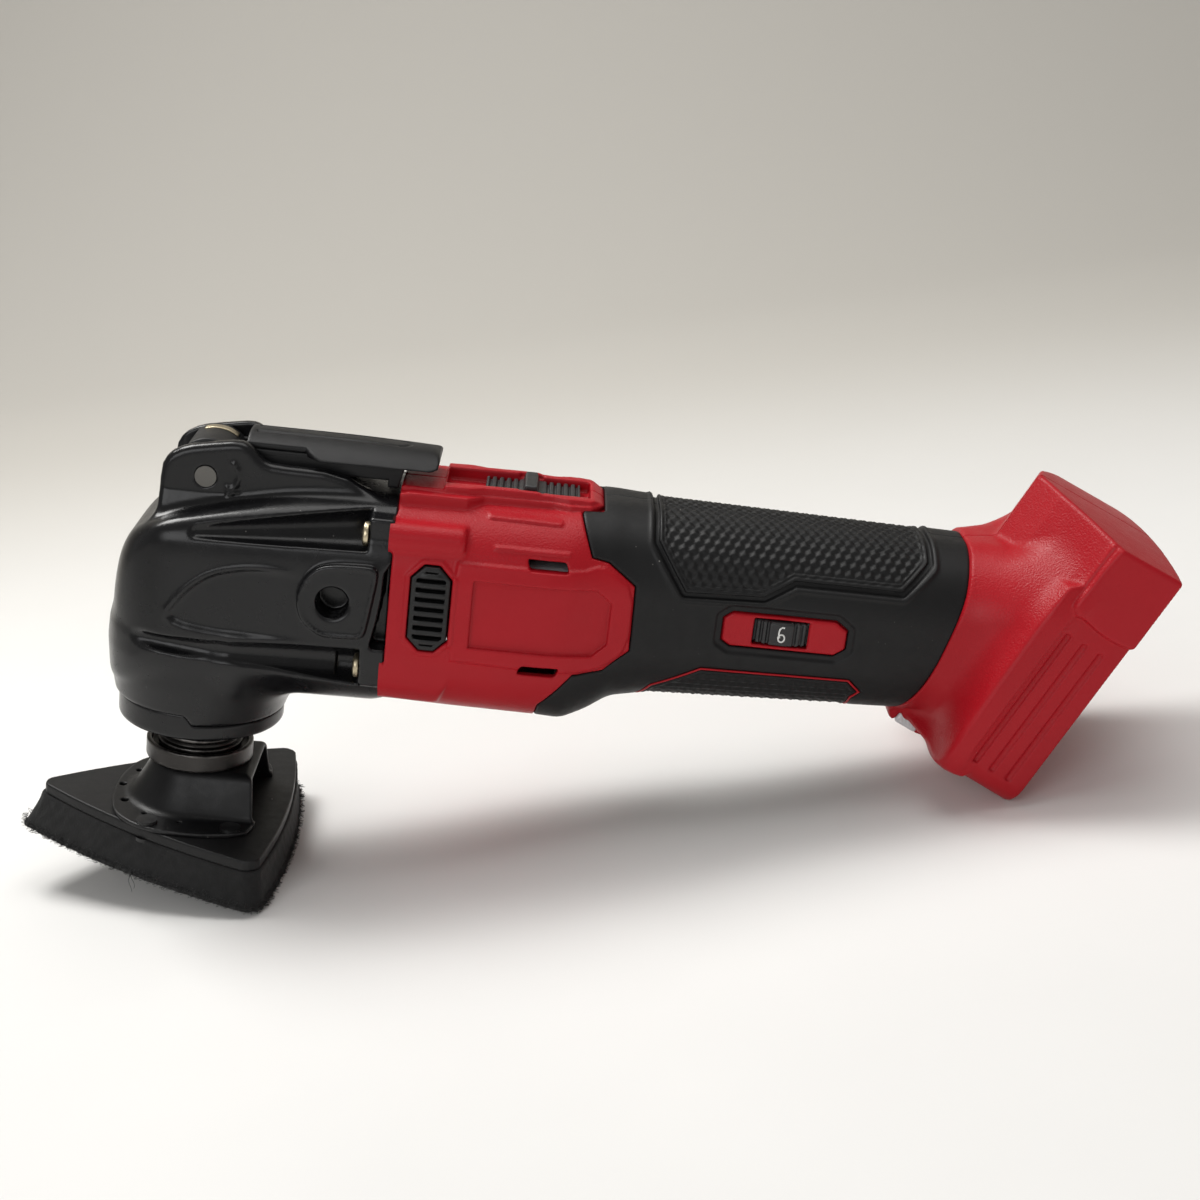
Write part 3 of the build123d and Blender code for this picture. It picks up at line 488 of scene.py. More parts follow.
# CAD material slot -> finish, where the two names differ
SLOT_FINISH = {
    "housing_red": "red", "grip_rubber": "rubber", "vent_black": "vent",
    "hook_fabric": "hook_pile", "spring_steel": "bright_steel", "bearing_steel": "alloy",
    "can_steel": "alloy", "magnet_grey": "magnet", "lamination": "laminations",
    "fan_plastic": "plain_black", "bronze": "brass", "carbon": "magnet",
    "switch_black": "switch", "black_plastic": "plain_black", "board_green": "board",
    "component_dark": "components", "wire_red": "wire", "contact_brass": "brass",
    "lens_clear": "lens", "lamp_white": "lamp"}
for subpart in frame["record"]["subparts"]:
    slots = frame["nodes"][subpart["node"]].data.materials
    slot_name = subpart["material_slot"]
    slots.clear()
    slots.append(MATERIALS[SLOT_FINISH.get(slot_name, slot_name)])
for node_name, finish_name in (("spindle_seal", "seal"), ("lever_arm", "stamped_black"),
                               ("lever_pin", "pin_steel")):
    frame["nodes"][node_name].data.materials[0] = MATERIALS[finish_name]

# ------------------------------------------------------------------ motor housing section along x
tube_half_width = profile([50, 72, 98, 104, 110, 118, 128, 165, 206, 240],
                          [29.6, 30.0, 30.0, 29.2, 27.4, 26.1, 25.5, 25.2, 24.9, 24.9], 1.6)
tube_bottom = profile([50, 72, 98, 105, 112, 118, 128, 165, 206, 240],
                      [57.3, 56.9, 56.6, 55.6, 58.4, 62.6, 64.4, 65.8, 67.4, 68.3], 1.6)
tube_top = profile([50, 72, 98, 106, 114, 128, 165, 206, 240],
                   [117.0, 117.4, 118.0, 119.6, 120.6, 120.0, 119.3, 118.5, 117.8], 2.0)
tube_corner = profile([50, 98, 114, 240], [20, 20, 21.5, 21.5], 3)


def tube(x, y, z, inset=0.0):
    half, low = tube_half_width(x) - inset, tube_bottom(x) + inset
    high, corner = tube_top(x) - inset, tube_corner(x) - inset
    return rect(y, z, 0.0, (low + high) / 2, half, (high - low) / 2, corner)


# ------------------------------------------------------------------ gear housing
# side outlines, (x, z)
HEAD_SIDE = rounded([
    (-26.9, 74.0), (-26.1, 83.3), (-23.8, 92.6), (-19.8, 100.2), (-14, 104.9), (-7, 107.6),
    (5, 110.6), (25, 114.9), (45, 117.4), (60, 118), (60, 57.1), (34, 55.8), (15, 53), (0, 52),
    (-20, 52), (-25.4, 54), (-26.6, 63)])
EAR_SIDE = rounded([
    (-13.6, 98), (-13.0, 104), (-12.6, 119.0), (-10.6, 122.9), (-6, 125.6), (2, 127.2),
    (8.7, 128.3), (11.8, 127.4), (15.2, 123.6), (18.5, 122.5), (36.6, 122.3), (48.1, 116.1),
    (50.5, 112.5), (50.5, 98)], 1)
HANDLE_BOSS = rounded([
    (34.2, 99.8), (38.7, 100.9), (46.5, 101.3), (49.6, 101.1), (50.6, 99.3), (50.3, 96),
    (48.6, 84), (47.9, 80.9), (46.4, 80.0), (40, 79.6), (36.0, 79.8), (32.4, 81.9),
    (30.0, 84.6), (28.9, 88.4), (29.1, 92.4), (31.0, 96.8)], 1)
CRESCENT = rounded([(-8.5, 79.0), (-1.8, 88.8), (5.2, 94.4), (15.5, 96.9), (27, 96.6), (46, 94),
                    (46, 77.6), (10, 76.4)])
JOINT_GAP = [(53.8, 102.0), (52.2, 99.2), (51.9, 92), (50.9, 84.8), (49.5, 77.8), (50.4, 76.9),
             (58, 76.9), (58, 102.0)]
ARROW_SHAFT = [(7.6, 121.9), (9.0, 120.0), (9.3, 118.0), (8.5, 115.8), (7.2, 114.4)]
ARROW_HEAD = [(5.7, 115.9), (5.9, 112.4), (9.6, 113.8)]
neck_radius = profile([44, 46.5, 50, 58, 66, 72, 84],
                      [23.7, 24.2, 25.1, 26.6, 27.4, 26.9, 22.0], 0.8)      # against z


def nose_joint(x):
    """Height of the stepped joint line above the nose ring."""
    return 46.7 + 3.1 * fade(1.6, -1.6, x)


def cut_screw_scoops(body, x, off, z):
    upper = taper(x, off, z, (0.6, 27.4, 105.8), (60, 21.6, 110.8), 1.9, 7.6)
    lower = join(taper(x, off, z, (-19, 24.6, 72.6), (8, 30.2, 71.8), 1.6, 3.1),
                 taper(x, off, z, (8, 30.2, 71.8), (50, 26.2, 70.8), 3.1, 5.8), 2.0)
    scoop_end = x - 46.9
    body = cut(body, meet(upper, scoop_end, 0.5), 1.1, meet(lower, scoop_end, 0.5), 1.2)
    for screw_off, screw_z in HEAD_SCREWS:
        seat = dist(off, z, screw_off, screw_z) - 3.9
        body = cut(body, meet(seat, band(x, HEAD_SCREW_X, 3.3), 0.3), 0.6)
    # posts at the joint with the motor housing: centre z, half height, reach
    for post_z, half, reach in ((109.4, 4.6, 25.6), (69.4, 4.2, 26.6)):
        post = box(x, off, z, 47.0, 54.2, 12, reach + 0.6, post_z - half, post_z + half, 1.0)
        body = join(body, post, 0.5)
    return body


def arrow(x, z):
    shaft = None
    for (x0, z0), (x1, z1) in zip(ARROW_SHAFT[:-1], ARROW_SHAFT[1:]):
        part = np.clip(((x - x0) * (x1 - x0) + (z - z0) * (z1 - z0))
                       / ((x1 - x0) ** 2 + (z1 - z0) ** 2), 0, 1)
        stroke = np.sqrt((x - x0 - part * (x1 - x0)) ** 2
                         + (z - z0 - part * (z1 - z0)) ** 2) - 0.55
        shaft = stroke if shaft is None else np.minimum(shaft, stroke)
    return np.minimum(shaft, polygon(x, z, ARROW_HEAD))


def cut_head_bores(body, x, y, z, radius):
    """Spindle, bearings, fork chamber, motor opening, pivot and side handle threads."""
    body = cut(body, meet(radius - 11.5, z - 60, 0.2), 0.2,
               meet(radius - 14.0, z - 54.0, 0.1), 0.2)
    narrowing = fade(86, 96, z) * fade(2, -6, x)
    for wide, loss, low in ((18, 1.8, 58), (20.4, 4.2, 80)):
        body = cut(body, meet(radius - (wide - loss * narrowing), low - z, 0.2,
                              z - 98.2, 0.2), 0.2)
    body = cut(body, meet(radius - 11.0, 97 - z, 0.1, z - 103.5, 0.1), 0.1,
               meet(radius - 3.2, 100 - z, 0.1), 0.1,
               meet(dist(y, z, 0, 92.0) - 20.5, 14 - x, 0.2), 0.2,
               dist(x, z, 0, PIVOT_Z) - 3.02, 0.25)
    off = np.abs(y)
    turn = np.arctan2(z - HANDLE_Z, x - HANDLE_X)
    thread = np.abs(((off / 1.5 + turn / (2 * np.pi)) % 1.0) - 0.5) * 2
    hole = dist(x, z, HANDLE_X, HANDLE_Z) - (4.25 + 0.45 * thread + 0.9 * fade(29.3, 30.8, off))
    return cut(body, meet(hole, 21.6 - off, 0.2), 0.25)


def gear_housing(x, y, z):
    off = np.abs(y)
    radius = dist(x, y)
    plan = dist(np.minimum(x - 0.5, 0) * (29.5 / 28.2), y) - 29.2
    barrel = meet(polygon(x, z, HEAD_SIDE), plan, 5.0,
                  rect(off, z, 0, 86.4, 29.5, 31.0, 21.0), 3.0)
    neck = meet(radius - neck_radius(z), 46.5 - z, 0.8, z - 82, 2.0)
    ear = meet(polygon(x, z, EAR_SIDE), off - (14.0 + np.maximum(0, 113 - z) * 0.35), 2.4)
    body = join(barrel, neck, 2.6 + 6.4 * fade(2.0, 16.0, x), ear, 3.2)
    # recessed panel below the crescent line, fading to the rear, with a raised edge
    crescent = polygon(x, z, CRESCENT)
    body = body + 0.9 * fade(0.6, -1.6, crescent) * fade(36, 12, x) * fade(18, 26, off)
    body = body - (0.35 * ridge(crescent - 0.7, 0.7) * fade(30, 18, x) * fade(18, 26, off)
                   * fade(77, 84, z))
    body = cut_screw_scoops(body, x, off, z)
    # flat D-shaped boss for the side handle with a rolled rim
    outline = polygon(x, z, HANDLE_BOSS)
    body = join(body, meet(outline, off - 30.6, 1.0, 20 - off, 1), 1.0)
    body = (body + 0.42 * ridge(outline + 1.7, 0.5) * fade(26, 29, off)
            + 0.35 * fade(-1.9, -2.6, outline) * fade(26, 29, off))
    # gap between the gear housing and the motor housing
    body = cut(body, meet(polygon(x, z, JOINT_GAP), 21.0 - off, 0.5), 0.5)
    body = meet(body, x - 53.95, 0.25)
    # slot for the lever: middle, front and rear parts
    body = cut(body, meet(off - 9.7, 106.4 - z, 0.6, band(x, 2.55, 13.95), 1.0), 0.7,
               meet(off - 9.7, 111.0 - z, 1.5, x + 11.0, 0.2), 0.9,
               meet(off - 10.4, 118.2 - z, 0.6, 16.0 - x, 0.2), 0.7)
    # raised curved arrow on each ear
    body = body - (0.45 * fade(0.4, -0.3, arrow(x, z)) * fade(12.0, 13.2, off)
                   * fade(20, 18, off))
    # stepped joint with the nose ring, and the spigot inside it
    body = meet(body, (nose_joint(x) + 0.1 - z) * 0.8, 0.7)
    body = join(body, meet(radius - 22.0, 46.55 - z, 0.1, z - 56, 0.1), 0.1)
    return cut_head_bores(body, x, y, z, radius)


def nose_ring(x, y, z):
    radius = dist(x, y)
    body = meet(radius - 23.9, 42 - z, 1.6, (z - nose_joint(x)) * 0.8, 0.7)
    body = cut(body, meet(radius - 22.2, 46.5 - z, 0.1), 0.1,
               radius - (11.5 + 1.2 * fade(43.4, 42, z)), 0.4,
               meet(radius - 13.6, 43.2 - z, 0.2), 0.2,
               dist(radius, z, 15.4, 42) - 0.5, 0.3)
    for degrees in (45, 135, 225, 315):
        turn = math.radians(degrees)
        recess = dist(x, y, 18.6 * math.cos(turn), 18.6 * math.sin(turn)) - 2.6
        body = cut(body, meet(recess, z - 43.6, 0.1), 0.3)
    return body


piece("gear_housing_shell", gear_housing, ((-30, 55.5), (-33, 33), (44, 130)), 0.62,
      "cast_black", "housing", "gear_housing")
piece("nose_ring_body", nose_ring, ((-24.6, 24.6), (-24.6, 24.6), (41, 50)), 0.4,
      "cast_black", "housing", "nose_ring")

# ------------------------------------------------------------------ motor housing, deck and battery foot
# side outlines, (x, z)
DECK_SIDE = rounded([(65.8, 110), (65.8, 121.3), (66.4, 121.6), (91.5, 121.9), (93.6, 121.2),
                     (107.4, 121.3), (110.4, 119.9), (110.8, 117), (110.8, 110)], 1)
SKIRT_SIDE = [(50, 115.3), (73.4, 115.3), (78.0, 117.2), (96.6, 117.4), (102.6, 116.8),
              (108.6, 117.6), (111.4, 119.0), (110.2, 119.9), (104, 119.8), (78, 119.6),
              (73, 119.5), (56.8, 119.6), (50, 118.2)]
PANEL = rounded([(71.3, 105.0), (75.0, 105.05), (106.4, 105.4), (110.2, 106.9), (113.4, 106.7),
                 (121.0, 101.2), (121.2, 83.6), (114.2, 77.2), (106, 75.6), (75.0, 76.5),
                 (71.3, 76.6)], 1)
PANEL_INSET = [(76.8, 100.5), (110.9, 100.3), (115.3, 96.6), (115.2, 84.6), (111.3, 80.9),
               (76.8, 80.9)]
VENT_FRAME = [(59.75, 82.15), (63.25, 78.65), (67.35, 78.65), (70.85, 82.15), (70.85, 99.65),
              (67.35, 103.15), (63.25, 103.15), (59.75, 99.65)]
DIAL_BEZEL = [(147.2, 88.8), (149.6, 87.3), (179.0, 87.3), (181.9, 89.4), (181.9, 94.6),
              (178.5, 97.0), (149.6, 97.0), (147.2, 95.2)]
RED_REGION = [(40, 135), (103.2, 135), (103.4, 121.8), (108.6, 108.6), (113.4, 107.6),
              (121.2, 101.8), (121.6, 83.0), (114.8, 76.6), (106.4, 75.0), (97.6, 64.0),
              (96.0, 50), (40, 50)]     # bare hard shell; the rubber skin starts outside it
# plan outlines, (x, distance from middle plane)
RAIL_PLAN = [(50, 12.7), (73, 12.8), (77.5, 11.2), (97, 11.2), (101, 12.2), (107.2, 12.0),
             (110.6, 8.8), (110.6, -1), (50, -1)]
SKIRT_PLAN = [(50, 16.4), (72.6, 16.4), (77.4, 12.2), (97, 12.2), (101.5, 13.9), (107.4, 13.4),
              (111.4, 8.8), (111.4, -1), (50, -1)]
# foot outlines, (distance from middle plane, back)
PROW = [(-4, 148.4), (0, 149.2), (13.4, 153.6), (33.5, 165.0), (34.5, 166.2), (34.5, 180),
        (-4, 180)]
LIP = [(-4, 154.0), (7.5, 154.6), (33.0, 165.4), (34.5, 166.6), (34.5, 171), (-4, 171)]
grip_end = profile([50, 68.2, 78.4, 90.3, 107.6, 117.2, 130],
                   [194.5, 201.4, 205.6, 209.6, 214.4, 215.6, 216.4], 2)    # x against z


def housing_tube(x, y, z):
    """Tube, stepped in by 2 mm under the soft skin, and its flared neck to the foot."""
    rise, back = foot_axes(x, z)
    shell = tube(x, y, z)
    red = np.minimum(polygon(x, z, RED_REGION), (grip_end(z) - x) * 0.95)
    shell = np.minimum(shell + 2.0, meet(shell, red, 0.25))
    body = meet(shell, HOUSING_FRONT - x, 0.5, back - 166.0, 0.3)
    # the neck's section turns from upright to lying along the foot
    from_tube, to_foot = x - 205.5, 163.5 - back
    part = np.clip(from_tube / np.maximum(from_tube + to_foot, 1.0), 0, 1)
    flare = np.clip(part * 1.02, 0, 1) ** 2.5
    height = (z - BODY_Z) * (1 - flare) + (rise - 179.0) * flare
    neck = rect(y, height, 0, 0, 24.9 + (35.0 - 24.9) * flare, 25.55 + (31.0 - 25.55) * flare,
                21.0 + (12.0 - 21.0) * flare)
    neck = meet(neck * 0.85, 202.0 - x, 0.3, back - 165.0, 0.3, red, 0.25)
    return join(body, neck, 0.9 * fade(206, 214, x) + 0.05)


def add_battery_foot(body, x, y, z):
    """Base block, blunt prow, raised end with a curved lower edge, crowned end face."""
    off = np.abs(y)
    rise, back = foot_axes(x, z)
    base = meet(rect(rise, y, 192.0, 0, 44.0, 36.0, 7.0), band(back, 175.25, 12.75), 1.6,
                165.5 - 3.0 * fade(213.0, 209.0, rise) - back, 1.0)
    prow = meet(polygon(off, back, PROW), 196.0 - rise, 3.0)
    curved = dist((rise - 211.5) / 7.8, (back - 180.0) / 16.0)
    ledge = np.where(rise < 211.5, (curved - 1.0) * 8.0, np.maximum(166.0 - back, -40))
    chamfer = ((off - 38.0 + 4.5 * np.clip((rise - 207.0) / 23.0, 0, 1)) * 0.61
               + (165.0 - back) * 0.79)
    raised = meet(off - 38.0, 166.6 - back, 1.6, back - 187.9, 0.6, ledge, 1.2, chamfer, 0.7)
    end = 229.7 - 2.0 * (y / 36.0) ** 2 - 0.045 * (188.0 - back)
    foot = join(base, prow, 0.9, raised, 0.6)
    foot = meet(foot, (rise - end) * 0.99, 1.1, back - 188.0, 0.8)
    blend = (8.0 * fade(206, 215, x) * fade(186.0, 172.0, back)
             * (0.12 + 0.88 * fade(8.0, 22.0, off)) + 0.5)
    snout = meet(rect(rise, back, 153.5, 158.0, 8.0, 6.6, 2.5), off - 8.5, 1.8)
    lip = meet(polygon(off, back, LIP), band(rise, 151.4, 3.0), 1.6)
    body = join(body, foot, blend, snout, 3.0, lip, 2.4)
    for groove in (170.8, 176.3, 181.8):
        body = cut(body, meet(dist(back, off, groove, 36.2) - 1.0, band(rise, 176.7, 22.2), 0.4),
                   0.35)
    # battery slot and its mouth, latch notches, lamp recess and lamp window
    return cut(body, box(rise, y, back, 140, 220, -25, 25, 176, 184, 0.5), 0.4,
               box(rise, y, back, 140, 220, -21, 21, 182, 195, 0.5), 0.6,
               box(rise, y, back, 160, 166, -28, 28, 178, 184, 0.5), 0.4,
               box(rise, y, back, 140, 154, -5, 5, 155.5, 162.5, 0.6), 0.5,
               box(rise, y, back, 140, 149.2, -9.2, 9.2, 154.1, 161.5, 0.7), 0.3)


def add_switch_deck(body, x, y, z):
    off = np.abs(y)
    rails = polygon(x, off, RAIL_PLAN)
    deck = meet(polygon(x, z, DECK_SIDE), rails, 0.7)
    shelf = meet(z - 120.4, rails, 0.9, x - 70, 1, HOUSING_FRONT - x, 0.4, 108 - z, 1)
    deck = join(deck, shelf, 0.5)
    # skirt under the rails: deep at the front, stepped up in the middle, deep at the rear
    skirt = meet(polygon(x, z, SKIRT_SIDE), polygon(x, off, SKIRT_PLAN), 0.7,
                 HOUSING_FRONT - x, 0.3)
    body = join(body, skirt, 0.45, deck, 0.4)
    return cut(body, box(x, y, z, 66.3, 107.0, -8.5, 8.5, 117.7, 140, 1.0), 0.5,
               box(x, y, z, 80, 106.9, -3.6, 3.6, 111, 123, 0.2), 0.2,
               meet(off - 9.3, 120.3 - z, 0.4, band(x, 90.2, 3.4), 0.4), 0.4)


def add_side_details(body, x, y, z):
    """Screw post bulges, raised panel, shoulder ribs, vent frame and slanted slots."""
    off = np.abs(y)
    shell = tube(x, y, z)
    upper = meet(rect(off, z, 18.0, 109.0, 10.9, 4.5, 4.3), x - 73.8, 1.6, 44 - x, 0.5)
    lower = meet(off - 28.9, z - 73.4, 1.0, 60.5 - z, 3.0, x - (70.0 + (z - 62.0) * 0.3), 1.2,
                 shell - 1.3, 1.6)
    panel = meet(polygon(x, z, PANEL), shell - 0.95, 0.9, 20 - off, 1)
    body = join(body, upper, 1.2, lower, 0.7, panel, 0.8)
    body = cut(body, meet(polygon(x, z, PANEL_INSET), -0.5 - shell, 0.25), 0.30)
    for x0, x1, rib_z in ((79.5, 99.5, 116.0), (82.0, 102.4, 109.4)):
        rib = (fade(0.85, 0.15, np.abs(z - rib_z)) * fade(x0 - 0.8, x0 + 0.3, x)
               * fade(x1 + 0.8, x1 - 0.3, x) * fade(12, 14, off))
        body = body - 0.55 * rib
    vent = polygon(x, z, VENT_FRAME)
    body = body - 0.45 * fade(1.9, 1.3, vent) * fade(24, 27, off) * fade(56.5, 58, x)
    body = cut(body, meet(vent - 0.25, 22 - off, 0.5), 0.5)
    for slot_z, slant in ((105.9, -0.35), (75.7, 0.35)):
        slot = box(x - (z - slot_z) * slant, off, z, 91.4, 102.2, 22, 40, slot_z - 1.45,
                   slot_z + 1.45, 0.7)
        body = cut(body, slot, 0.35)
    return body


def cut_housing_inside(body, x, y, z):
    rise, back = foot_axes(x, z)
    motor_room = meet(tube(x, y, z, 2.8), x - 107, 1.0)
    grip_room = meet(tube(x, y, z, 4.6), back - 172, 0.5, x - 214.0, 1.0)
    foot_room = meet(rect(rise, y, 181, 0, 29.0, 32, 3), band(back, 168.5, 3.5), 0.5)
    rooms = np.minimum(np.minimum(motor_room, grip_room), foot_room)
    return cut(body, meet(rooms, 40 - x, 0.3), 0.3)


def housing_part(side, front):
    def field(x, y, z):
        body = housing_tube(x, y, z)
        for change in (add_battery_foot, add_switch_deck, add_side_details, cut_housing_inside):
            body = change(body, x, y, z)
        if side < 0:        # bezel and pocket of the speed wheel
            bezel = meet(polygon(x, z, DIAL_BEZEL), -y - 24.9, 0.7, y + 20.2, 0.3)
            pocket = meet(dist(x, y, WHEEL_X, WHEEL_Y) - (WHEEL_RADIUS + WHEEL_GAP),
                          band(z, WHEEL_Z, WHEEL_HALF + WHEEL_GAP), 0.3)
            body = cut(join(body, bezel, 0.2), pocket, 0.3)
        else:
            for hole_x, hole_z in CASE_HOLES:
                body = cut(body, meet(dist(x, z, hole_x, hole_z) - 3.2, 17.0 - y, 0.1), 0.3)
        split = x - HOUSING_SPLIT if front else HOUSING_SPLIT - x
        return meet(body, 0.06 - side * y, 0.45, split, 0.05)
    return field


for side, side_name in SIDES:
    span = side_span(side, 39.5, 1.0)
    piece("housing_shell_%s_front" % side_name, housing_part(side, True),
          ((52.5, 126.2), span, (52, 127.5)), 0.5, "red", "housing", "housing_" + side_name)
    piece("housing_shell_%s_rear" % side_name, housing_part(side, False),
          ((123.8, 273), span, (48.5, 145)), 0.60, "red", "housing")

# ------------------------------------------------------------------ soft grip skin with moulded insets
# side outlines, (x, z)
UPPER_INSET = [(126.4, 140), (127.4, 113.9), (135.8, 101.9), (157.2, 102.6), (165.6, 107.6),
               (195.8, 107.4), (202.8, 114.4), (202.0, 140)]
LOWER_INSET = [(118.0, 50), (129.5, 71.0), (142.6, 79.0), (184.6, 79.4), (188.4, 75.6),
               (186.6, 73.0), (186.6, 50)]


def hexagon_depth(u, v):
    """Three-facet raised cells on a hexagonal lattice: 1 at each cell's centre."""
    pitch_u, pitch_v = HEXAGON_CELL, HEXAGON_CELL * math.sqrt(3)
    best = None
    for shift_u, shift_v in ((0, 0), (pitch_u / 2, pitch_v / 2)):
        from_u = u - (np.round((u - shift_u) / pitch_u) * pitch_u + shift_u)
        from_v = v - (np.round((v - shift_v) / pitch_v) * pitch_v + shift_v)
        square = from_u * from_u + from_v * from_v
        if best is None:
            best, best_u, best_v = square, from_u, from_v
        else:
            nearer = square < best
            best_u = np.where(nearer, from_u, best_u)
            best_v = np.where(nearer, from_v, best_v)
    facets = np.maximum(np.maximum(best_v, -0.5 * best_v + 0.866 * best_u),
                        -0.5 * best_v - 0.866 * best_u)
    return 1.0 - facets / (HEXAGON_CELL * 0.58)


def grip_skin(side):
    def field(x, y, z):
        off = np.abs(y)
        skin = cut(tube(x, y, z), polygon(x, z, RED_REGION) - 0.12, 1.1)
        skin = meet(skin, x - grip_end(z), 0.9)
        around = 25.6 * np.arctan2(off, z - 92.6)
        facets = 1.0 - hexagon_depth(x, around)
        # upper inset: groove, lip, faceted field and stitched line
        edge = polygon(x, z, UPPER_INSET)
        groove = 1.05 * fade(0.15, 0.5, edge) * fade(2.1, 1.5, edge)
        lip = -0.40 * ridge(edge - 2.7, 0.6)
        stitch = 0.40 * ridge(edge + 0.9, 0.26) * (0.65 + 0.35 * np.sin((x + around) * 1.9))
        upper = (groove + lip + fade(-0.2, -0.9, edge)
                 * (0.10 + facets * 0.78 * fade(-1.2, -1.7, edge)) + stitch)
        # lower inset: groove and faceted field
        edge = polygon(x, z, LOWER_INSET)
        lower = 1.1 * ridge(edge - 0.1, 0.55) + fade(-1.0, -1.6, edge) * (0.12 + 0.72 * facets)
        skin = skin + np.where(z > 92, upper, lower) * fade(104, 112, x)
        if side < 0:        # shallow seat round the dial window
            bezel = polygon(x, z, DIAL_BEZEL)
            skin = skin + 0.75 * fade(2.8, 1.6, bezel) * fade(0, -5, y)
            skin = cut(skin, meet(bezel - 0.35, y + 12, 0.3), 0.5)
        skin = cut(skin, tube(x, y, z, 2.02), 0.2,
                   box(x, y, z, 40, 111.2, -13.2, 13.2, 100, 140, 1.0), 0.6)
        if side > 0:
            for hole_x, hole_z in CASE_HOLES[2:4]:
                skin = cut(skin, dist(x, z, hole_x, hole_z) - 3.5, 0.5)
        return meet(skin, 0.05 - side * y, 0.35)
    return field


def grip_piping(side):
    """Thin red bead that frames the lower inset."""
    def field(x, y, z):
        bead = dist(polygon(x, z, LOWER_INSET), tube(x, y, z), 0.1, -0.30) - 0.34
        return meet(bead, z - 86, 0.2, 0.4 - side * y, 0.2)
    return field


for side, side_name in SIDES:
    piece("grip_skin_" + side_name, grip_skin(side),
          ((94.0, 218), side_span(side, 31.5, 0.9), (54, 123)), 0.37, "rubber", "housing",
          "grip_overmould_" + side_name)
for side, side_name in SIDES:
    piece("grip_piping_" + side_name, grip_piping(side),
          ((116, 191), side_span(side, 27.5, 0.0), (62, 84)), 0.32, "red", "housing")

# ------------------------------------------------------------------ ribbed vent inserts
VENT_OPENING = [(61.2, 82.6), (63.6, 80.2), (67.0, 80.2), (69.4, 82.6), (69.4, 99.2),
                (67.0, 101.6), (63.6, 101.6), (61.2, 99.2)]     # (x, z)


def vent_grille(side):
    def field(x, y, z):
        off = np.abs(y)
        frame_edge = polygon(x, z, VENT_FRAME)
        body = meet(frame_edge + 0.1, off - 30.3 - 0.5 * fade(-0.6, -2.4, frame_edge), 0.6,
                    25.0 - off, 0.3)
        slots = meet(polygon(x, z, VENT_OPENING), off_pitch(z - 90.9, 2.75) - 0.62, 0.35,
                     27.6 - off, 0.2, band(x, 65.3, 4.2), 0.4)
        return meet(cut(body, slots, 0.5), -side * y, 0.1)
    return field


for side, side_name in SIDES:
    piece("vent_grille_" + side_name, vent_grille(side),
          ((58.5, 72.2), side_span(side, 32, -24), (77.5, 104.5)), 0.3, "vent", "housing",
          "vent_insert_" + side_name)

# ------------------------------------------------------------------ release lever
COVER_SIDE = [(9.8, 124.9), (9.8, 129.2), (10.6, 129.7), (40, 129.6), (61.6, 129.0),
              (63.6, 128.2), (64.2, 126.8), (63.6, 125.2), (62, 124.7), (28, 124.7)]    # (x, z)
COVER_PLAN = [(9.8, -1), (9.8, 9.2), (26.5, 9.2), (31.0, 13.8), (60.6, 13.8), (64.2, 11.0),
              (64.2, -1)]       # (x, distance from middle plane)
CHEEK = [(6.6 * math.cos(math.radians(degrees)), PIVOT_Z + 6.6 * math.sin(math.radians(degrees)))
         for degrees in range(60, 331, 15)]
CHEEK += [(8, 119.6), (16, 120.4), (50, 120.4), (50, 118.4), (53, 118.4), (54.5, 124.6),
          (16, 124.6), (6, 124.2)]      # (x, z)


def lever_cover(x, y, z):
    off = np.abs(y)
    body = meet(polygon(x, z, COVER_SIDE), polygon(x, off, COVER_PLAN), 1.0)
    # side flanges sit lower than the raised spine, whose top is crowned
    flange = (z - (127.4 - (x - 29) * 0.012)) * 0.8
    crown = z - 129.75 + 0.028 * off ** 2 + 0.0006 * np.maximum(x - 30, 0) ** 2
    body = meet(body, join(flange, off - 9.9 + (z - 127.4) * 0.35, 0.9), 0.8, crown, 0.6)
    # two grooves along the top, joined by a half ring at the rear
    groove = meet(dist(off, z, 3.0, 129.75) - 0.75, band(x, 32.5, 20.5), 0.4)
    groove_end = dist(dist(np.minimum(0, 52.0 - x), off), z, 3.0, 129.6) - 0.75
    return cut(body, groove, 0.35, meet(groove_end, 52.0 - x, 0.1), 0.35,
               box(x, y, z, 8, 55.4, -9.35, 9.35, 120, 126.0, 0.3), 0.3)


def pivot_polar(x, z):
    return dist(x, z, 0, PIVOT_Z), np.degrees(np.arctan2(z - PIVOT_Z, x))


def lever_nose(x, y, z):
    off = np.abs(y)
    radius, degrees = pivot_polar(x, z)
    body = meet(band(radius, 8.85, 0.75), (degrees - 131) * 0.19, 0.4,
                (34 - degrees) * 0.19, 0.4, off - 9.2, 0.6)
    ends = meet((degrees - 124) * 0.16, (38 - degrees) * 0.16, 0.2)
    web = meet(radius - 9.0, 5.4 - radius, 0.4, band(off, 8.25, 0.9), 0.4, ends, 0.5)
    return join(body, web, 0.5)


def lever_arm(x, y, z):
    body = meet(polygon(x, z, CHEEK), band(np.abs(y), 8.2, 0.9), 0.3)
    body = join(body, box(x, y, z, 9.0, 54.0, -9.1, 9.1, 124.5, 125.8, 0.3), 0.4)
    return cut(body, dist(x, z, 0, PIVOT_Z) - 3.05, 0.3)


def nose_plate(x, y, z):
    radius, degrees = pivot_polar(x, z)
    ends = meet((degrees - 112) * 0.2, (52 - degrees) * 0.2, 0.3)
    return meet(band(radius, 9.7, 0.26), ends, 0.3, band(y, 4.8, 1.6), 0.3)


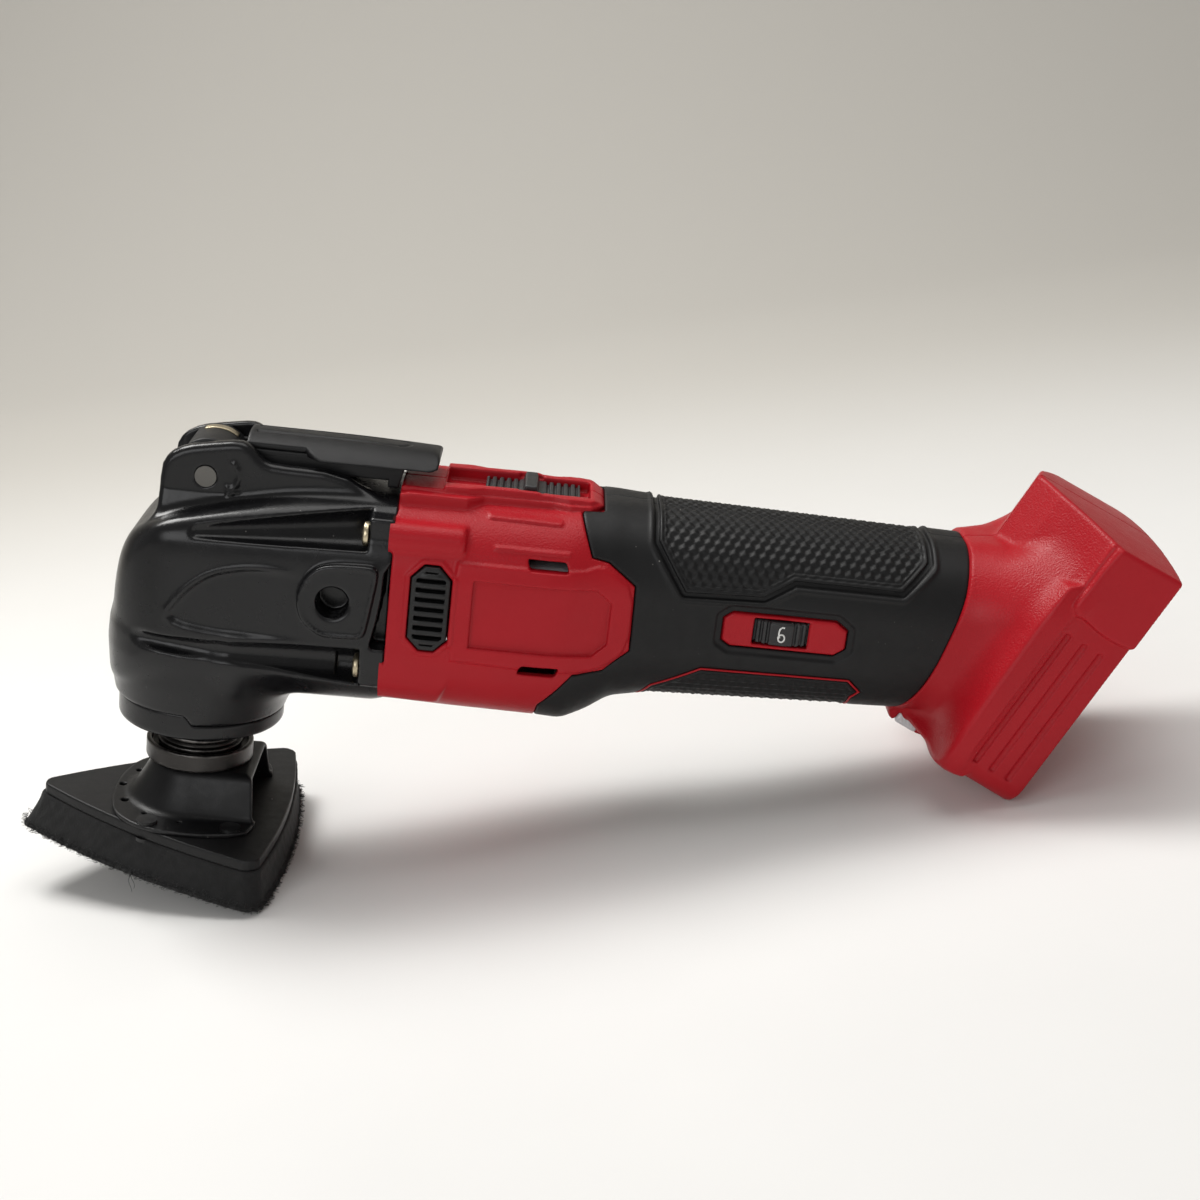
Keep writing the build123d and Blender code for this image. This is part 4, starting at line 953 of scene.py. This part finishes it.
piece("lever_cover_shell", lever_cover, ((8.5, 65.5), (-15, 15), (123.5, 131)), 0.36,
      "lever_black", "lever", "lever_cover")
piece("lever_arm_plate", lever_arm, ((-7.6, 55.6), (-10, 10), (110, 126.8)), 0.40,
      "stamped_black", "lever", "lever_arm")
piece("lever_nose_shell", lever_nose, ((-12, 12), (-10.4, 10.4), (116, 131)), 0.36,
      "lever_black", "lever")
piece("lever_nose_plate", nose_plate, ((-8, 12), (-7.4, 7.4), (123, 131)), 0.26,
      "yellow_zinc", "lever")

# ------------------------------------------------------------------ slide switch and speed wheel
THUMB_BAR = [(86.8, 117), (88.4, 122.7), (91.6, 122.7), (93.4, 117)]    # (x, z)


def slider(x, y, z):
    body = join(box(x, y, z, 77.2, 104.2, -7.7, 7.7, 115.0, 120.3, 0.6),
                meet(polygon(x, z, THUMB_BAR), np.abs(y) - 7.9, 0.7), 0.4)
    # cross grooves in front of and behind the thumb bar
    ribbed = fade(87.2, 86.2, x) + fade(93.8, 94.8, x)
    ribbed = ribbed * fade(77.4, 78.0, x) * fade(104.0, 103.4, x)
    body = body + 0.85 * fade(0.62, 0.2, off_pitch(x - 78.5, 2.05)) * ribbed * fade(118.6, 119.4, z)
    body = meet(body, 117.95 - z, 0.1)
    return join(body, box(x, y, z, 94, 98, -3, 3, 116.6, 119.6, 0.2), 0.2)


def thumbwheel(x, y, z):
    """Ribbed wheel with a blank field facing -y."""
    radius = dist(x, y, WHEEL_X, WHEEL_Y)
    degrees = np.degrees(np.arctan2(y - WHEEL_Y, x - WHEEL_X))
    degrees = (degrees + 90 + 180) % 360 - 180
    from_groove = off_pitch(degrees, 7.5) * math.pi / 180 * 15
    grooves = 0.8 * fade(0.62, 0.28, from_groove) * fade(9.5, 11.5, np.abs(degrees))
    rim_round = 0.5 * fade(2.9, 3.5, np.abs(z - WHEEL_Z))
    body = meet(radius - WHEEL_RADIUS + grooves + rim_round, band(z, WHEEL_Z, WHEEL_HALF), 0.5)
    return cut(body, radius - 2.05, 0.2)


def dial_figure():
    """Figure 6 on the wheel's blank field, built as swept strokes."""
    material, tree, shader = new_material("mat_figure")
    feed(shader.inputs["Roughness"], 0.5)
    noise = add_node(tree, "TexNoise", Scale=1500.0,
                     Vector=add_node(tree, "TexCoord").outputs["Object"])
    feed(shader.inputs["Base Color"], ramp(noise.outputs["Fac"], (0.3, (0.62, 0.62, 0.60)),
                                           (0.6, (0.86, 0.86, 0.84))))
    curve = bpy.data.curves.new("dial_figure", "CURVE")
    curve.dimensions = "3D"
    curve.bevel_depth = 0.00024
    curve.bevel_resolution = 3
    stem = []
    for i in range(17):
        part = i / 16.0
        turn = math.radians(70 + 150 * part)
        drop = max(0, part - 0.5) * 0.6
        stem.append((0.30 + 1.55 * math.cos(turn) * (1 - 0.25 * part),
                     0.55 + 1.75 * math.sin(turn) - drop))
    bowl = [(0.05 + 1.15 * math.cos(math.radians(degrees)),
             -0.95 + 1.12 * math.sin(math.radians(degrees))) for degrees in range(180, 540, 20)]
    for stroke, closed in ((stem, False), (bowl, True)):
        spline = curve.splines.new("POLY")
        spline.points.add(len(stroke) - 1)
        for point, (across, height) in zip(spline.points, stroke):
            turn = (across * 0.78) / WHEEL_RADIUS
            place = to_scene([[WHEEL_X + 15.02 * math.sin(turn),
                               WHEEL_Y - 15.02 * math.cos(turn), WHEEL_Z + height * 0.98]])[0]
            point.co = (*place, 1)
        spline.use_cyclic_u = closed
    figure = bpy.data.objects.new("dial_figure", curve)
    bpy.context.scene.collection.objects.link(figure)
    curve.materials.append(material)
    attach(figure, "dial")


piece("switch_button", slider, ((76, 105.4), (-9, 9), (115.8, 125)), 0.3, "switch", "switch",
      "switch_slider")
piece("speed_thumbwheel", thumbwheel, ((147.6, 179.4), (-27, 4.8), (88, 96.4)), 0.34, "switch",
      "dial", "speed_dial")
dial_figure()

# ------------------------------------------------------------------ spindle and accessory holder
HOLDER_EDGE = [(-24.2, -4), (-23.6, -10), (-21.4, -18.6), (-15.1, -25.4), (-7.2, -29.0),
               (5.3, -29.6), (14.6, -27.4), (20.2, -23.4)]      # (x, y), the -y half
HOLDER_PLAN = rounded(HOLDER_EDGE + [(x, -y) for x, y in reversed(HOLDER_EDGE)])
HOLDER_HOLES = ((-86, 0.6), (-57, 0.7), (-29, 1.1), (0, 1.1), (29, 1.1), (57, 0.7),
                (86, 0.6))      # (degrees from the front, hole radius)


def spindle(x, y, z):
    radius = dist(x, y)
    flange = meet(radius - 15.6, 28.42 - z, 0.7, z - 33.9, 0.5)
    flange = cut(flange, meet(radius - 14.1, 31.9 - z, 0.6), 0.5)
    hub = join(meet(radius - 11.0, 31 - z, 0.3, z - 46.4, 0.5),
               meet(radius - 12.4, band(z, 33.6, 0.8), 0.4), 0.3,
               meet(radius - 11.9, band(z, 36.6, 0.6), 0.4), 0.3)
    shaft = meet(radius - 7.0, 46 - z, 0.3, z - 103.4, 0.5)
    return cut(join(flange, hub, 0.5, shaft, 0.3), radius - 3.05, 0.2,
               meet(radius - 5.3, 64.4 - z, 0.2), 0.2)


def pad_screw_hole(x, y):
    """Distance from the nearer pad screw axis."""
    return dist(x, np.abs(y), PAD_HOLE_X, PAD_HOLE_Y)


def holder(x, y, z):
    """Flat flange and a hollow dome that narrows upwards and is cut flat at the rear."""
    flange = meet(polygon(x, y, HOLDER_PLAN), band(z, 15.22, 0.6), 0.4)
    rise = np.clip((z - 15.7) / 12.7, 0, 1)
    rear = fade(0.0, 17.0, x)
    dome_radius = (20.6 - 7.6 * rise ** 0.8) * (1 - rear) + (18.7 - 4.4 * rise) * rear
    radius = dist(np.minimum(x, 0), y)
    dome = meet(radius - dome_radius, x - 18.9 + 1.2 * rise, 0.5, 15.2 - z, 0.3,
                z - 28.38, 2.6)
    hollow = meet(radius - (dome_radius - 1.3), z - 26.8, 1.6)
    body = cut(join(flange, dome, 1.6), hollow, 0.4, dist(x, y) - 3.06, 0.2)
    for degrees, hole_radius in HOLDER_HOLES:
        turn = math.radians(degrees)
        hole = dist(x, y, -22.3 * math.cos(turn), 22.3 * math.sin(turn)) - hole_radius
        body = cut(body, meet(hole, z - 18, 0.2), 0.15)
    return cut(body, meet(pad_screw_hole(x, y) - 1.62, z - 18, 0.2), 0.2)


piece("spindle_body", spindle, ((-16.6, 16.6), (-16.6, 16.6), (27.4, 104.6)), 0.45,
      "dark_steel", "spindle", "spindle")
piece("accessory_holder", holder, ((-25.6, 21.6), (-31, 31), (13.6, 29.4)), 0.38,
      "stamped_black", "clamp", "pad_holder")


# ------------------------------------------------------------------ sanding pad
def pad_outline(bow, toe, rear, half):
    """Triangle with bowed sides: toe at the front, rear edge of the given half width."""
    points = []
    corners = ((toe, 0.0), (rear, half), (rear, -half))
    for (x0, y0), (x1, y1) in zip(corners, corners[1:] + corners[:1]):
        length = math.hypot(x1 - x0, y1 - y0)
        out_x, out_y = -(y1 - y0) / length, (x1 - x0) / length
        for part in (0.035, 0.09, 0.18, 0.29, 0.4, 0.5, 0.6, 0.71, 0.82, 0.91, 0.965):
            bulge = bow * 4 * part * (1 - part)
            points.append((x0 + (x1 - x0) * part + out_x * bulge,
                           y0 + (y1 - y0) * part + out_y * bulge))
    return rounded(points, 1)


PLATE_PLAN = pad_outline(bow=4.0, toe=-47.2, rear=23.6, half=42.4)
FOAM_BOTTOM = pad_outline(bow=4.2, toe=-53.2, rear=25.2, half=44.9)
FOAM_TOP = pad_outline(bow=4.0, toe=-48.2, rear=24.2, half=43.0)


def pad_plate(x, y, z):
    plate = meet(polygon(x, y, PLATE_PLAN), band(z, 13.01, 1.59), 0.5)
    return cut(plate, pad_screw_hole(x, y) - 1.65, 0.2)


def pad_foam(x, y, z):
    rise = np.clip((z - 1.2) / 10.2, 0, 1)
    edge = polygon(x, y, FOAM_BOTTOM) * (1 - rise) + polygon(x, y, FOAM_TOP) * rise
    lumps = (0.22 * np.sin(x * 0.9 + 2 * np.sin(y * 0.5))
             * np.sin(y * 0.8 + 1.3 * np.sin(x * 0.6) + z))
    return meet(edge + 0.35 * np.sin(math.pi * rise) + lumps * 0.4, 1.15 - z, 0.3,
                z - 11.4, 0.5)


def hook_sheet(x, y, z):
    lumps = (0.35 * np.sin(x * 1.9 + 3 * np.sin(y * 0.9))
             * np.sin(y * 1.7 + 2.0 * np.sin(x * 1.1)))
    return meet(polygon(x, y, FOAM_BOTTOM) - 0.2 + lumps, -z, 0.2, z - 1.25, 0.2)


def add_strand(verts, quads, points, radii, across):
    """Three-sided tube through the points; across is the (x, y) direction of its section."""
    base = len(verts)
    for (x, y, z), radius in zip(points, radii):
        for turn in (0, 2.094, 4.189):
            reach = radius * math.cos(turn)
            verts.append((x + reach * across[0], y + reach * across[1],
                          z + radius * math.sin(turn)))
    for j in range(len(points) - 1):
        for a in range(3):
            b = (a + 1) % 3
            low, high = base + 3 * j, base + 3 * (j + 1)
            quads.append((low + a, low + b, high + b, high + a))


def fibre(rng, start, edge):
    """Points, radii and edge direction of one loop or loose end on a rim edge."""
    part = rng.random()
    foot = start * (1 - part) + (start + edge) * part
    length = np.linalg.norm(edge) + 1e-9
    outward = np.array([-edge[1], edge[0]]) / length
    probe = foot + outward
    if polygon(probe[:1], probe[1:], FOAM_BOTTOM)[0] < 0:
        outward = -outward
    tangent = edge / length
    height = 0.3 + 2.6 * rng.random() ** 2
    reach = 0.5 + 1.5 * rng.random() ** 2.5
    lean = rng.normal() * 0.7
    lift = rng.normal() * 0.45 - 0.1
    looped = rng.random() < 0.6
    width = 0.3 + 0.5 * rng.random()
    points = []
    for t in np.linspace(0, 1, 7):
        if looped:
            arch = math.sin(math.pi * t)
            place = (foot + outward * (reach * math.sin(math.pi * t * 0.92) - 0.25)
                     + tangent * (width * (t - 0.5) * 1.6 + lean * 0.4 * arch))
            z = height + lift * reach * arch + 0.5 * (t - 0.5) * width
        else:
            place = foot + outward * (reach * t - 0.25) + tangent * lean * t * t * reach
            z = height + lift * reach * t * t
        points.append((place[0], place[1], max(0.08, z)))
    thickness = 0.05 + 0.05 * rng.random()
    return points, [thickness * (1 - 0.4 * j / 6) for j in range(7)], tangent


def rim_fibres(seed=5, count=2600):
    """Short bent fibres standing out of the pad's rim, and a loose two-ply thread."""
    rng = np.random.default_rng(seed)
    starts = FOAM_BOTTOM
    edges = np.roll(starts, -1, axis=0) - starts
    lengths = np.linalg.norm(edges, axis=1)
    reached = np.cumsum(lengths) / lengths.sum()
    verts, quads = [], []
    for _ in range(count):
        k = int(np.searchsorted(reached, rng.random()))
        add_strand(verts, quads, *fibre(rng, starts[k], edges[k]))
    # the thread trails on the floor beside the -y edge
    for shift, phase in ((0.0, 1), (0.35, 2)):
        steps = [j / 21 for j in range(22)]
        points = [(-14.4 + shift + 0.45 * math.sin(7 * t + phase) + 2.6 * t,
                   -25.2 - 12.6 * t * (1.0 - 0.18 * (phase - 1)),
                   max(0.12, 2.2 * (1 - t) ** 2 + 0.15 + 0.1 * math.sin(9 * t + phase)))
                  for t in steps]
        add_strand(verts, quads, points, [0.13 * (1 - 0.55 * t) for t in steps], (1, 0))
    built = quad_object("pad_rim_fibres", to_scene(verts), np.array(quads))
    built.data.materials.append(MATERIALS["hook_pile"])
    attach(built, "clamp")


piece("pad_backing_plate", pad_plate, ((-51, 28.5), (-44.5, 44.5), (10.8, 15.3)), 0.42,
      "pad_plastic", "clamp", "pad_plate")
piece("pad_cushion", pad_foam, ((-55, 31), (-46.5, 46.5), (0.2, 12.2)), 0.5, "pad_foam",
      "clamp", "pad_foam")
piece("pad_hook_sheet", hook_sheet, ((-55, 31), (-46.5, 46.5), (-0.8, 2.0)), 0.5, "hook_pile",
      "clamp", "hook_layer")
rim_fibres()


# ------------------------------------------------------------------ lamp lens
def lamp_lens(x, y, z):
    rise, back = foot_axes(x, z)
    body = box(rise, y, back, 145.9, 149.0, -9.05, 9.05, 154.3, 161.3, 0.8)
    return body + 0.25 * np.cos(y * 1.9) * fade(147.2, 146.4, rise)


piece("lamp_window", lamp_lens, ((198, 216), (-10.2, 10.2), (56, 70)), 0.3, "lens", "housing",
      "lamp_lens")


# ------------------------------------------------------------------ head screws with driver recesses
def head_screw(screw_y, screw_z):
    def field(x, y, z):
        radius = dist(y, z, screw_y, screw_z)
        turn = np.arctan2(z - screw_z, y - screw_y)
        star = radius - (1.75 + 0.32 * np.cos(6 * turn))
        head = meet(radius - 3.5, 44.9 - x + 0.05 * radius ** 2, 0.6, x - 46.95, 0.3)
        head = cut(head, meet(star, x - 46.3, 0.2), 0.25)
        thread = radius - 2.0 + 0.2 * np.cos(2 * math.pi * x / 0.9 + turn)
        return join(head, meet(thread, 46 - x, 0.2, x - 66, 0.4), 0.2)
    return field


screw_places = [(side * off, z) for side, _ in SIDES for off, z in HEAD_SCREWS]
for i, (screw_y, screw_z) in enumerate(screw_places):
    piece("head_screw_%d" % (i + 1), head_screw(screw_y, screw_z),
          ((42, 66.8), (screw_y - 4.4, screw_y + 4.4), (screw_z - 4.4, screw_z + 4.4)), 0.3,
          "yellow_zinc", "housing", *(("head_screws",) if i == 0 else ()))


# ------------------------------------------------------------------ stage, lights and camera (m)
def studio_floor():
    """Floor that curves up into a back wall; profile points are (y, z)."""
    section = [(-2.2, 0.0)]
    for i in range(41):
        turn = math.pi / 2 * i / 40
        section.append((0.75 + 0.55 * math.sin(turn), 0.55 * (1 - math.cos(turn))))
    section.append((1.30, 2.6))
    verts = [(x, y, z) for y, z in section for x in (-3.2, 3.2)]
    quads = [(2 * i, 2 * i + 1, 2 * i + 3, 2 * i + 2) for i in range(len(section) - 1)]
    floor = quad_object("studio_floor", np.array(verts), np.array(quads))
    material, tree, shader = new_material("mat_floor")
    place = add_node(tree, "TexCoord").outputs["Object"]
    noise = add_node(tree, "TexNoise", Vector=place, Scale=6.0, Detail=4.0)
    near = ramp(noise.outputs["Fac"], (0.3, (0.82, 0.815, 0.80)), (0.7, (0.86, 0.855, 0.84)))
    depth = add_node(tree, "SeparateXYZ", Vector=place).outputs[1]
    # painted shade: the floor and back wall get a darker colour towards the back, where less light
    # reaches them
    far_painted_shade = ramp(product(depth, 1.0), (0.06, 0), (0.62, 1))
    far_painted_shade.node.color_ramp.interpolation = "EASE"
    feed(shader.inputs["Base Color"], mix_colour(far_painted_shade, near, (0.565, 0.545, 0.505)))
    feed(shader.inputs["Roughness"], 0.75)
    feed(shader.inputs["Specular IOR Level"], 0.15)
    floor.data.materials.append(material)


def area_light(name, place, target, width, height, power, colour):
    light = bpy.data.lights.new(name, "AREA")
    light.energy = power
    light.color = colour
    light.shape = "RECTANGLE"
    light.size = width
    light.size_y = height
    lamp = bpy.data.objects.new(name, light)
    lamp.location = place
    lamp.rotation_euler = (Vector(target) - Vector(place)).to_track_quat("-Z", "Y").to_euler()
    bpy.context.scene.collection.objects.link(lamp)


def world_light():
    world = bpy.data.worlds.new("studio")
    bpy.context.scene.world = world
    world.use_nodes = True
    background = world.node_tree.nodes["Background"]
    background.inputs["Color"].default_value = (0.94, 0.925, 0.90, 1)
    background.inputs["Strength"].default_value = 0.30


# camera in the tool frame: place in mm, directions as unit vectors
CAMERA_PLACE = (86.416, -550.757, 273.596)
CAMERA_UP = (-0.0993, 0.3214, 0.9417)
CAMERA_FORWARD = (0.0462, 0.9469, -0.3183)


def scene_direction(vector):
    x, y, z = vector
    return Vector((x * TILT_COS + z * TILT_SIN, y, -x * TILT_SIN + z * TILT_COS)).normalized()


def add_camera():
    data = bpy.data.cameras.new("camera")
    data.sensor_width = 36.0
    data.sensor_fit = "HORIZONTAL"
    data.lens = 60.0
    data.clip_start = 0.01
    data.clip_end = 20
    camera = bpy.data.objects.new("camera", data)
    bpy.context.scene.collection.objects.link(camera)
    forward = scene_direction(CAMERA_FORWARD)
    right = forward.cross(scene_direction(CAMERA_UP)).normalized()
    up = right.cross(forward).normalized()
    turn = Matrix((right, up, -forward)).transposed().to_4x4()
    camera.matrix_world = Matrix.Translation(to_scene([CAMERA_PLACE])[0]) @ turn
    bpy.context.scene.camera = camera


studio_floor()
area_light("key_light", place=(-0.42, 0.42, 1.05), target=(0.02, 0, 0.05), width=0.50,
           height=0.50, power=10.5, colour=(1.0, 0.99, 0.97))
area_light("top_light", place=(0.25, 0.10, 1.20), target=(0.05, 0, 0.0), width=0.9,
           height=0.7, power=4.6, colour=(1.0, 0.99, 0.975))
area_light("front_fill", place=(-0.45, -1.05, 0.60), target=(0, 0, 0.06), width=0.8,
           height=0.6, power=3.8, colour=(0.985, 0.99, 1.0))
world_light()
add_camera()
bpy.context.scene.view_settings.view_transform = "Standard"
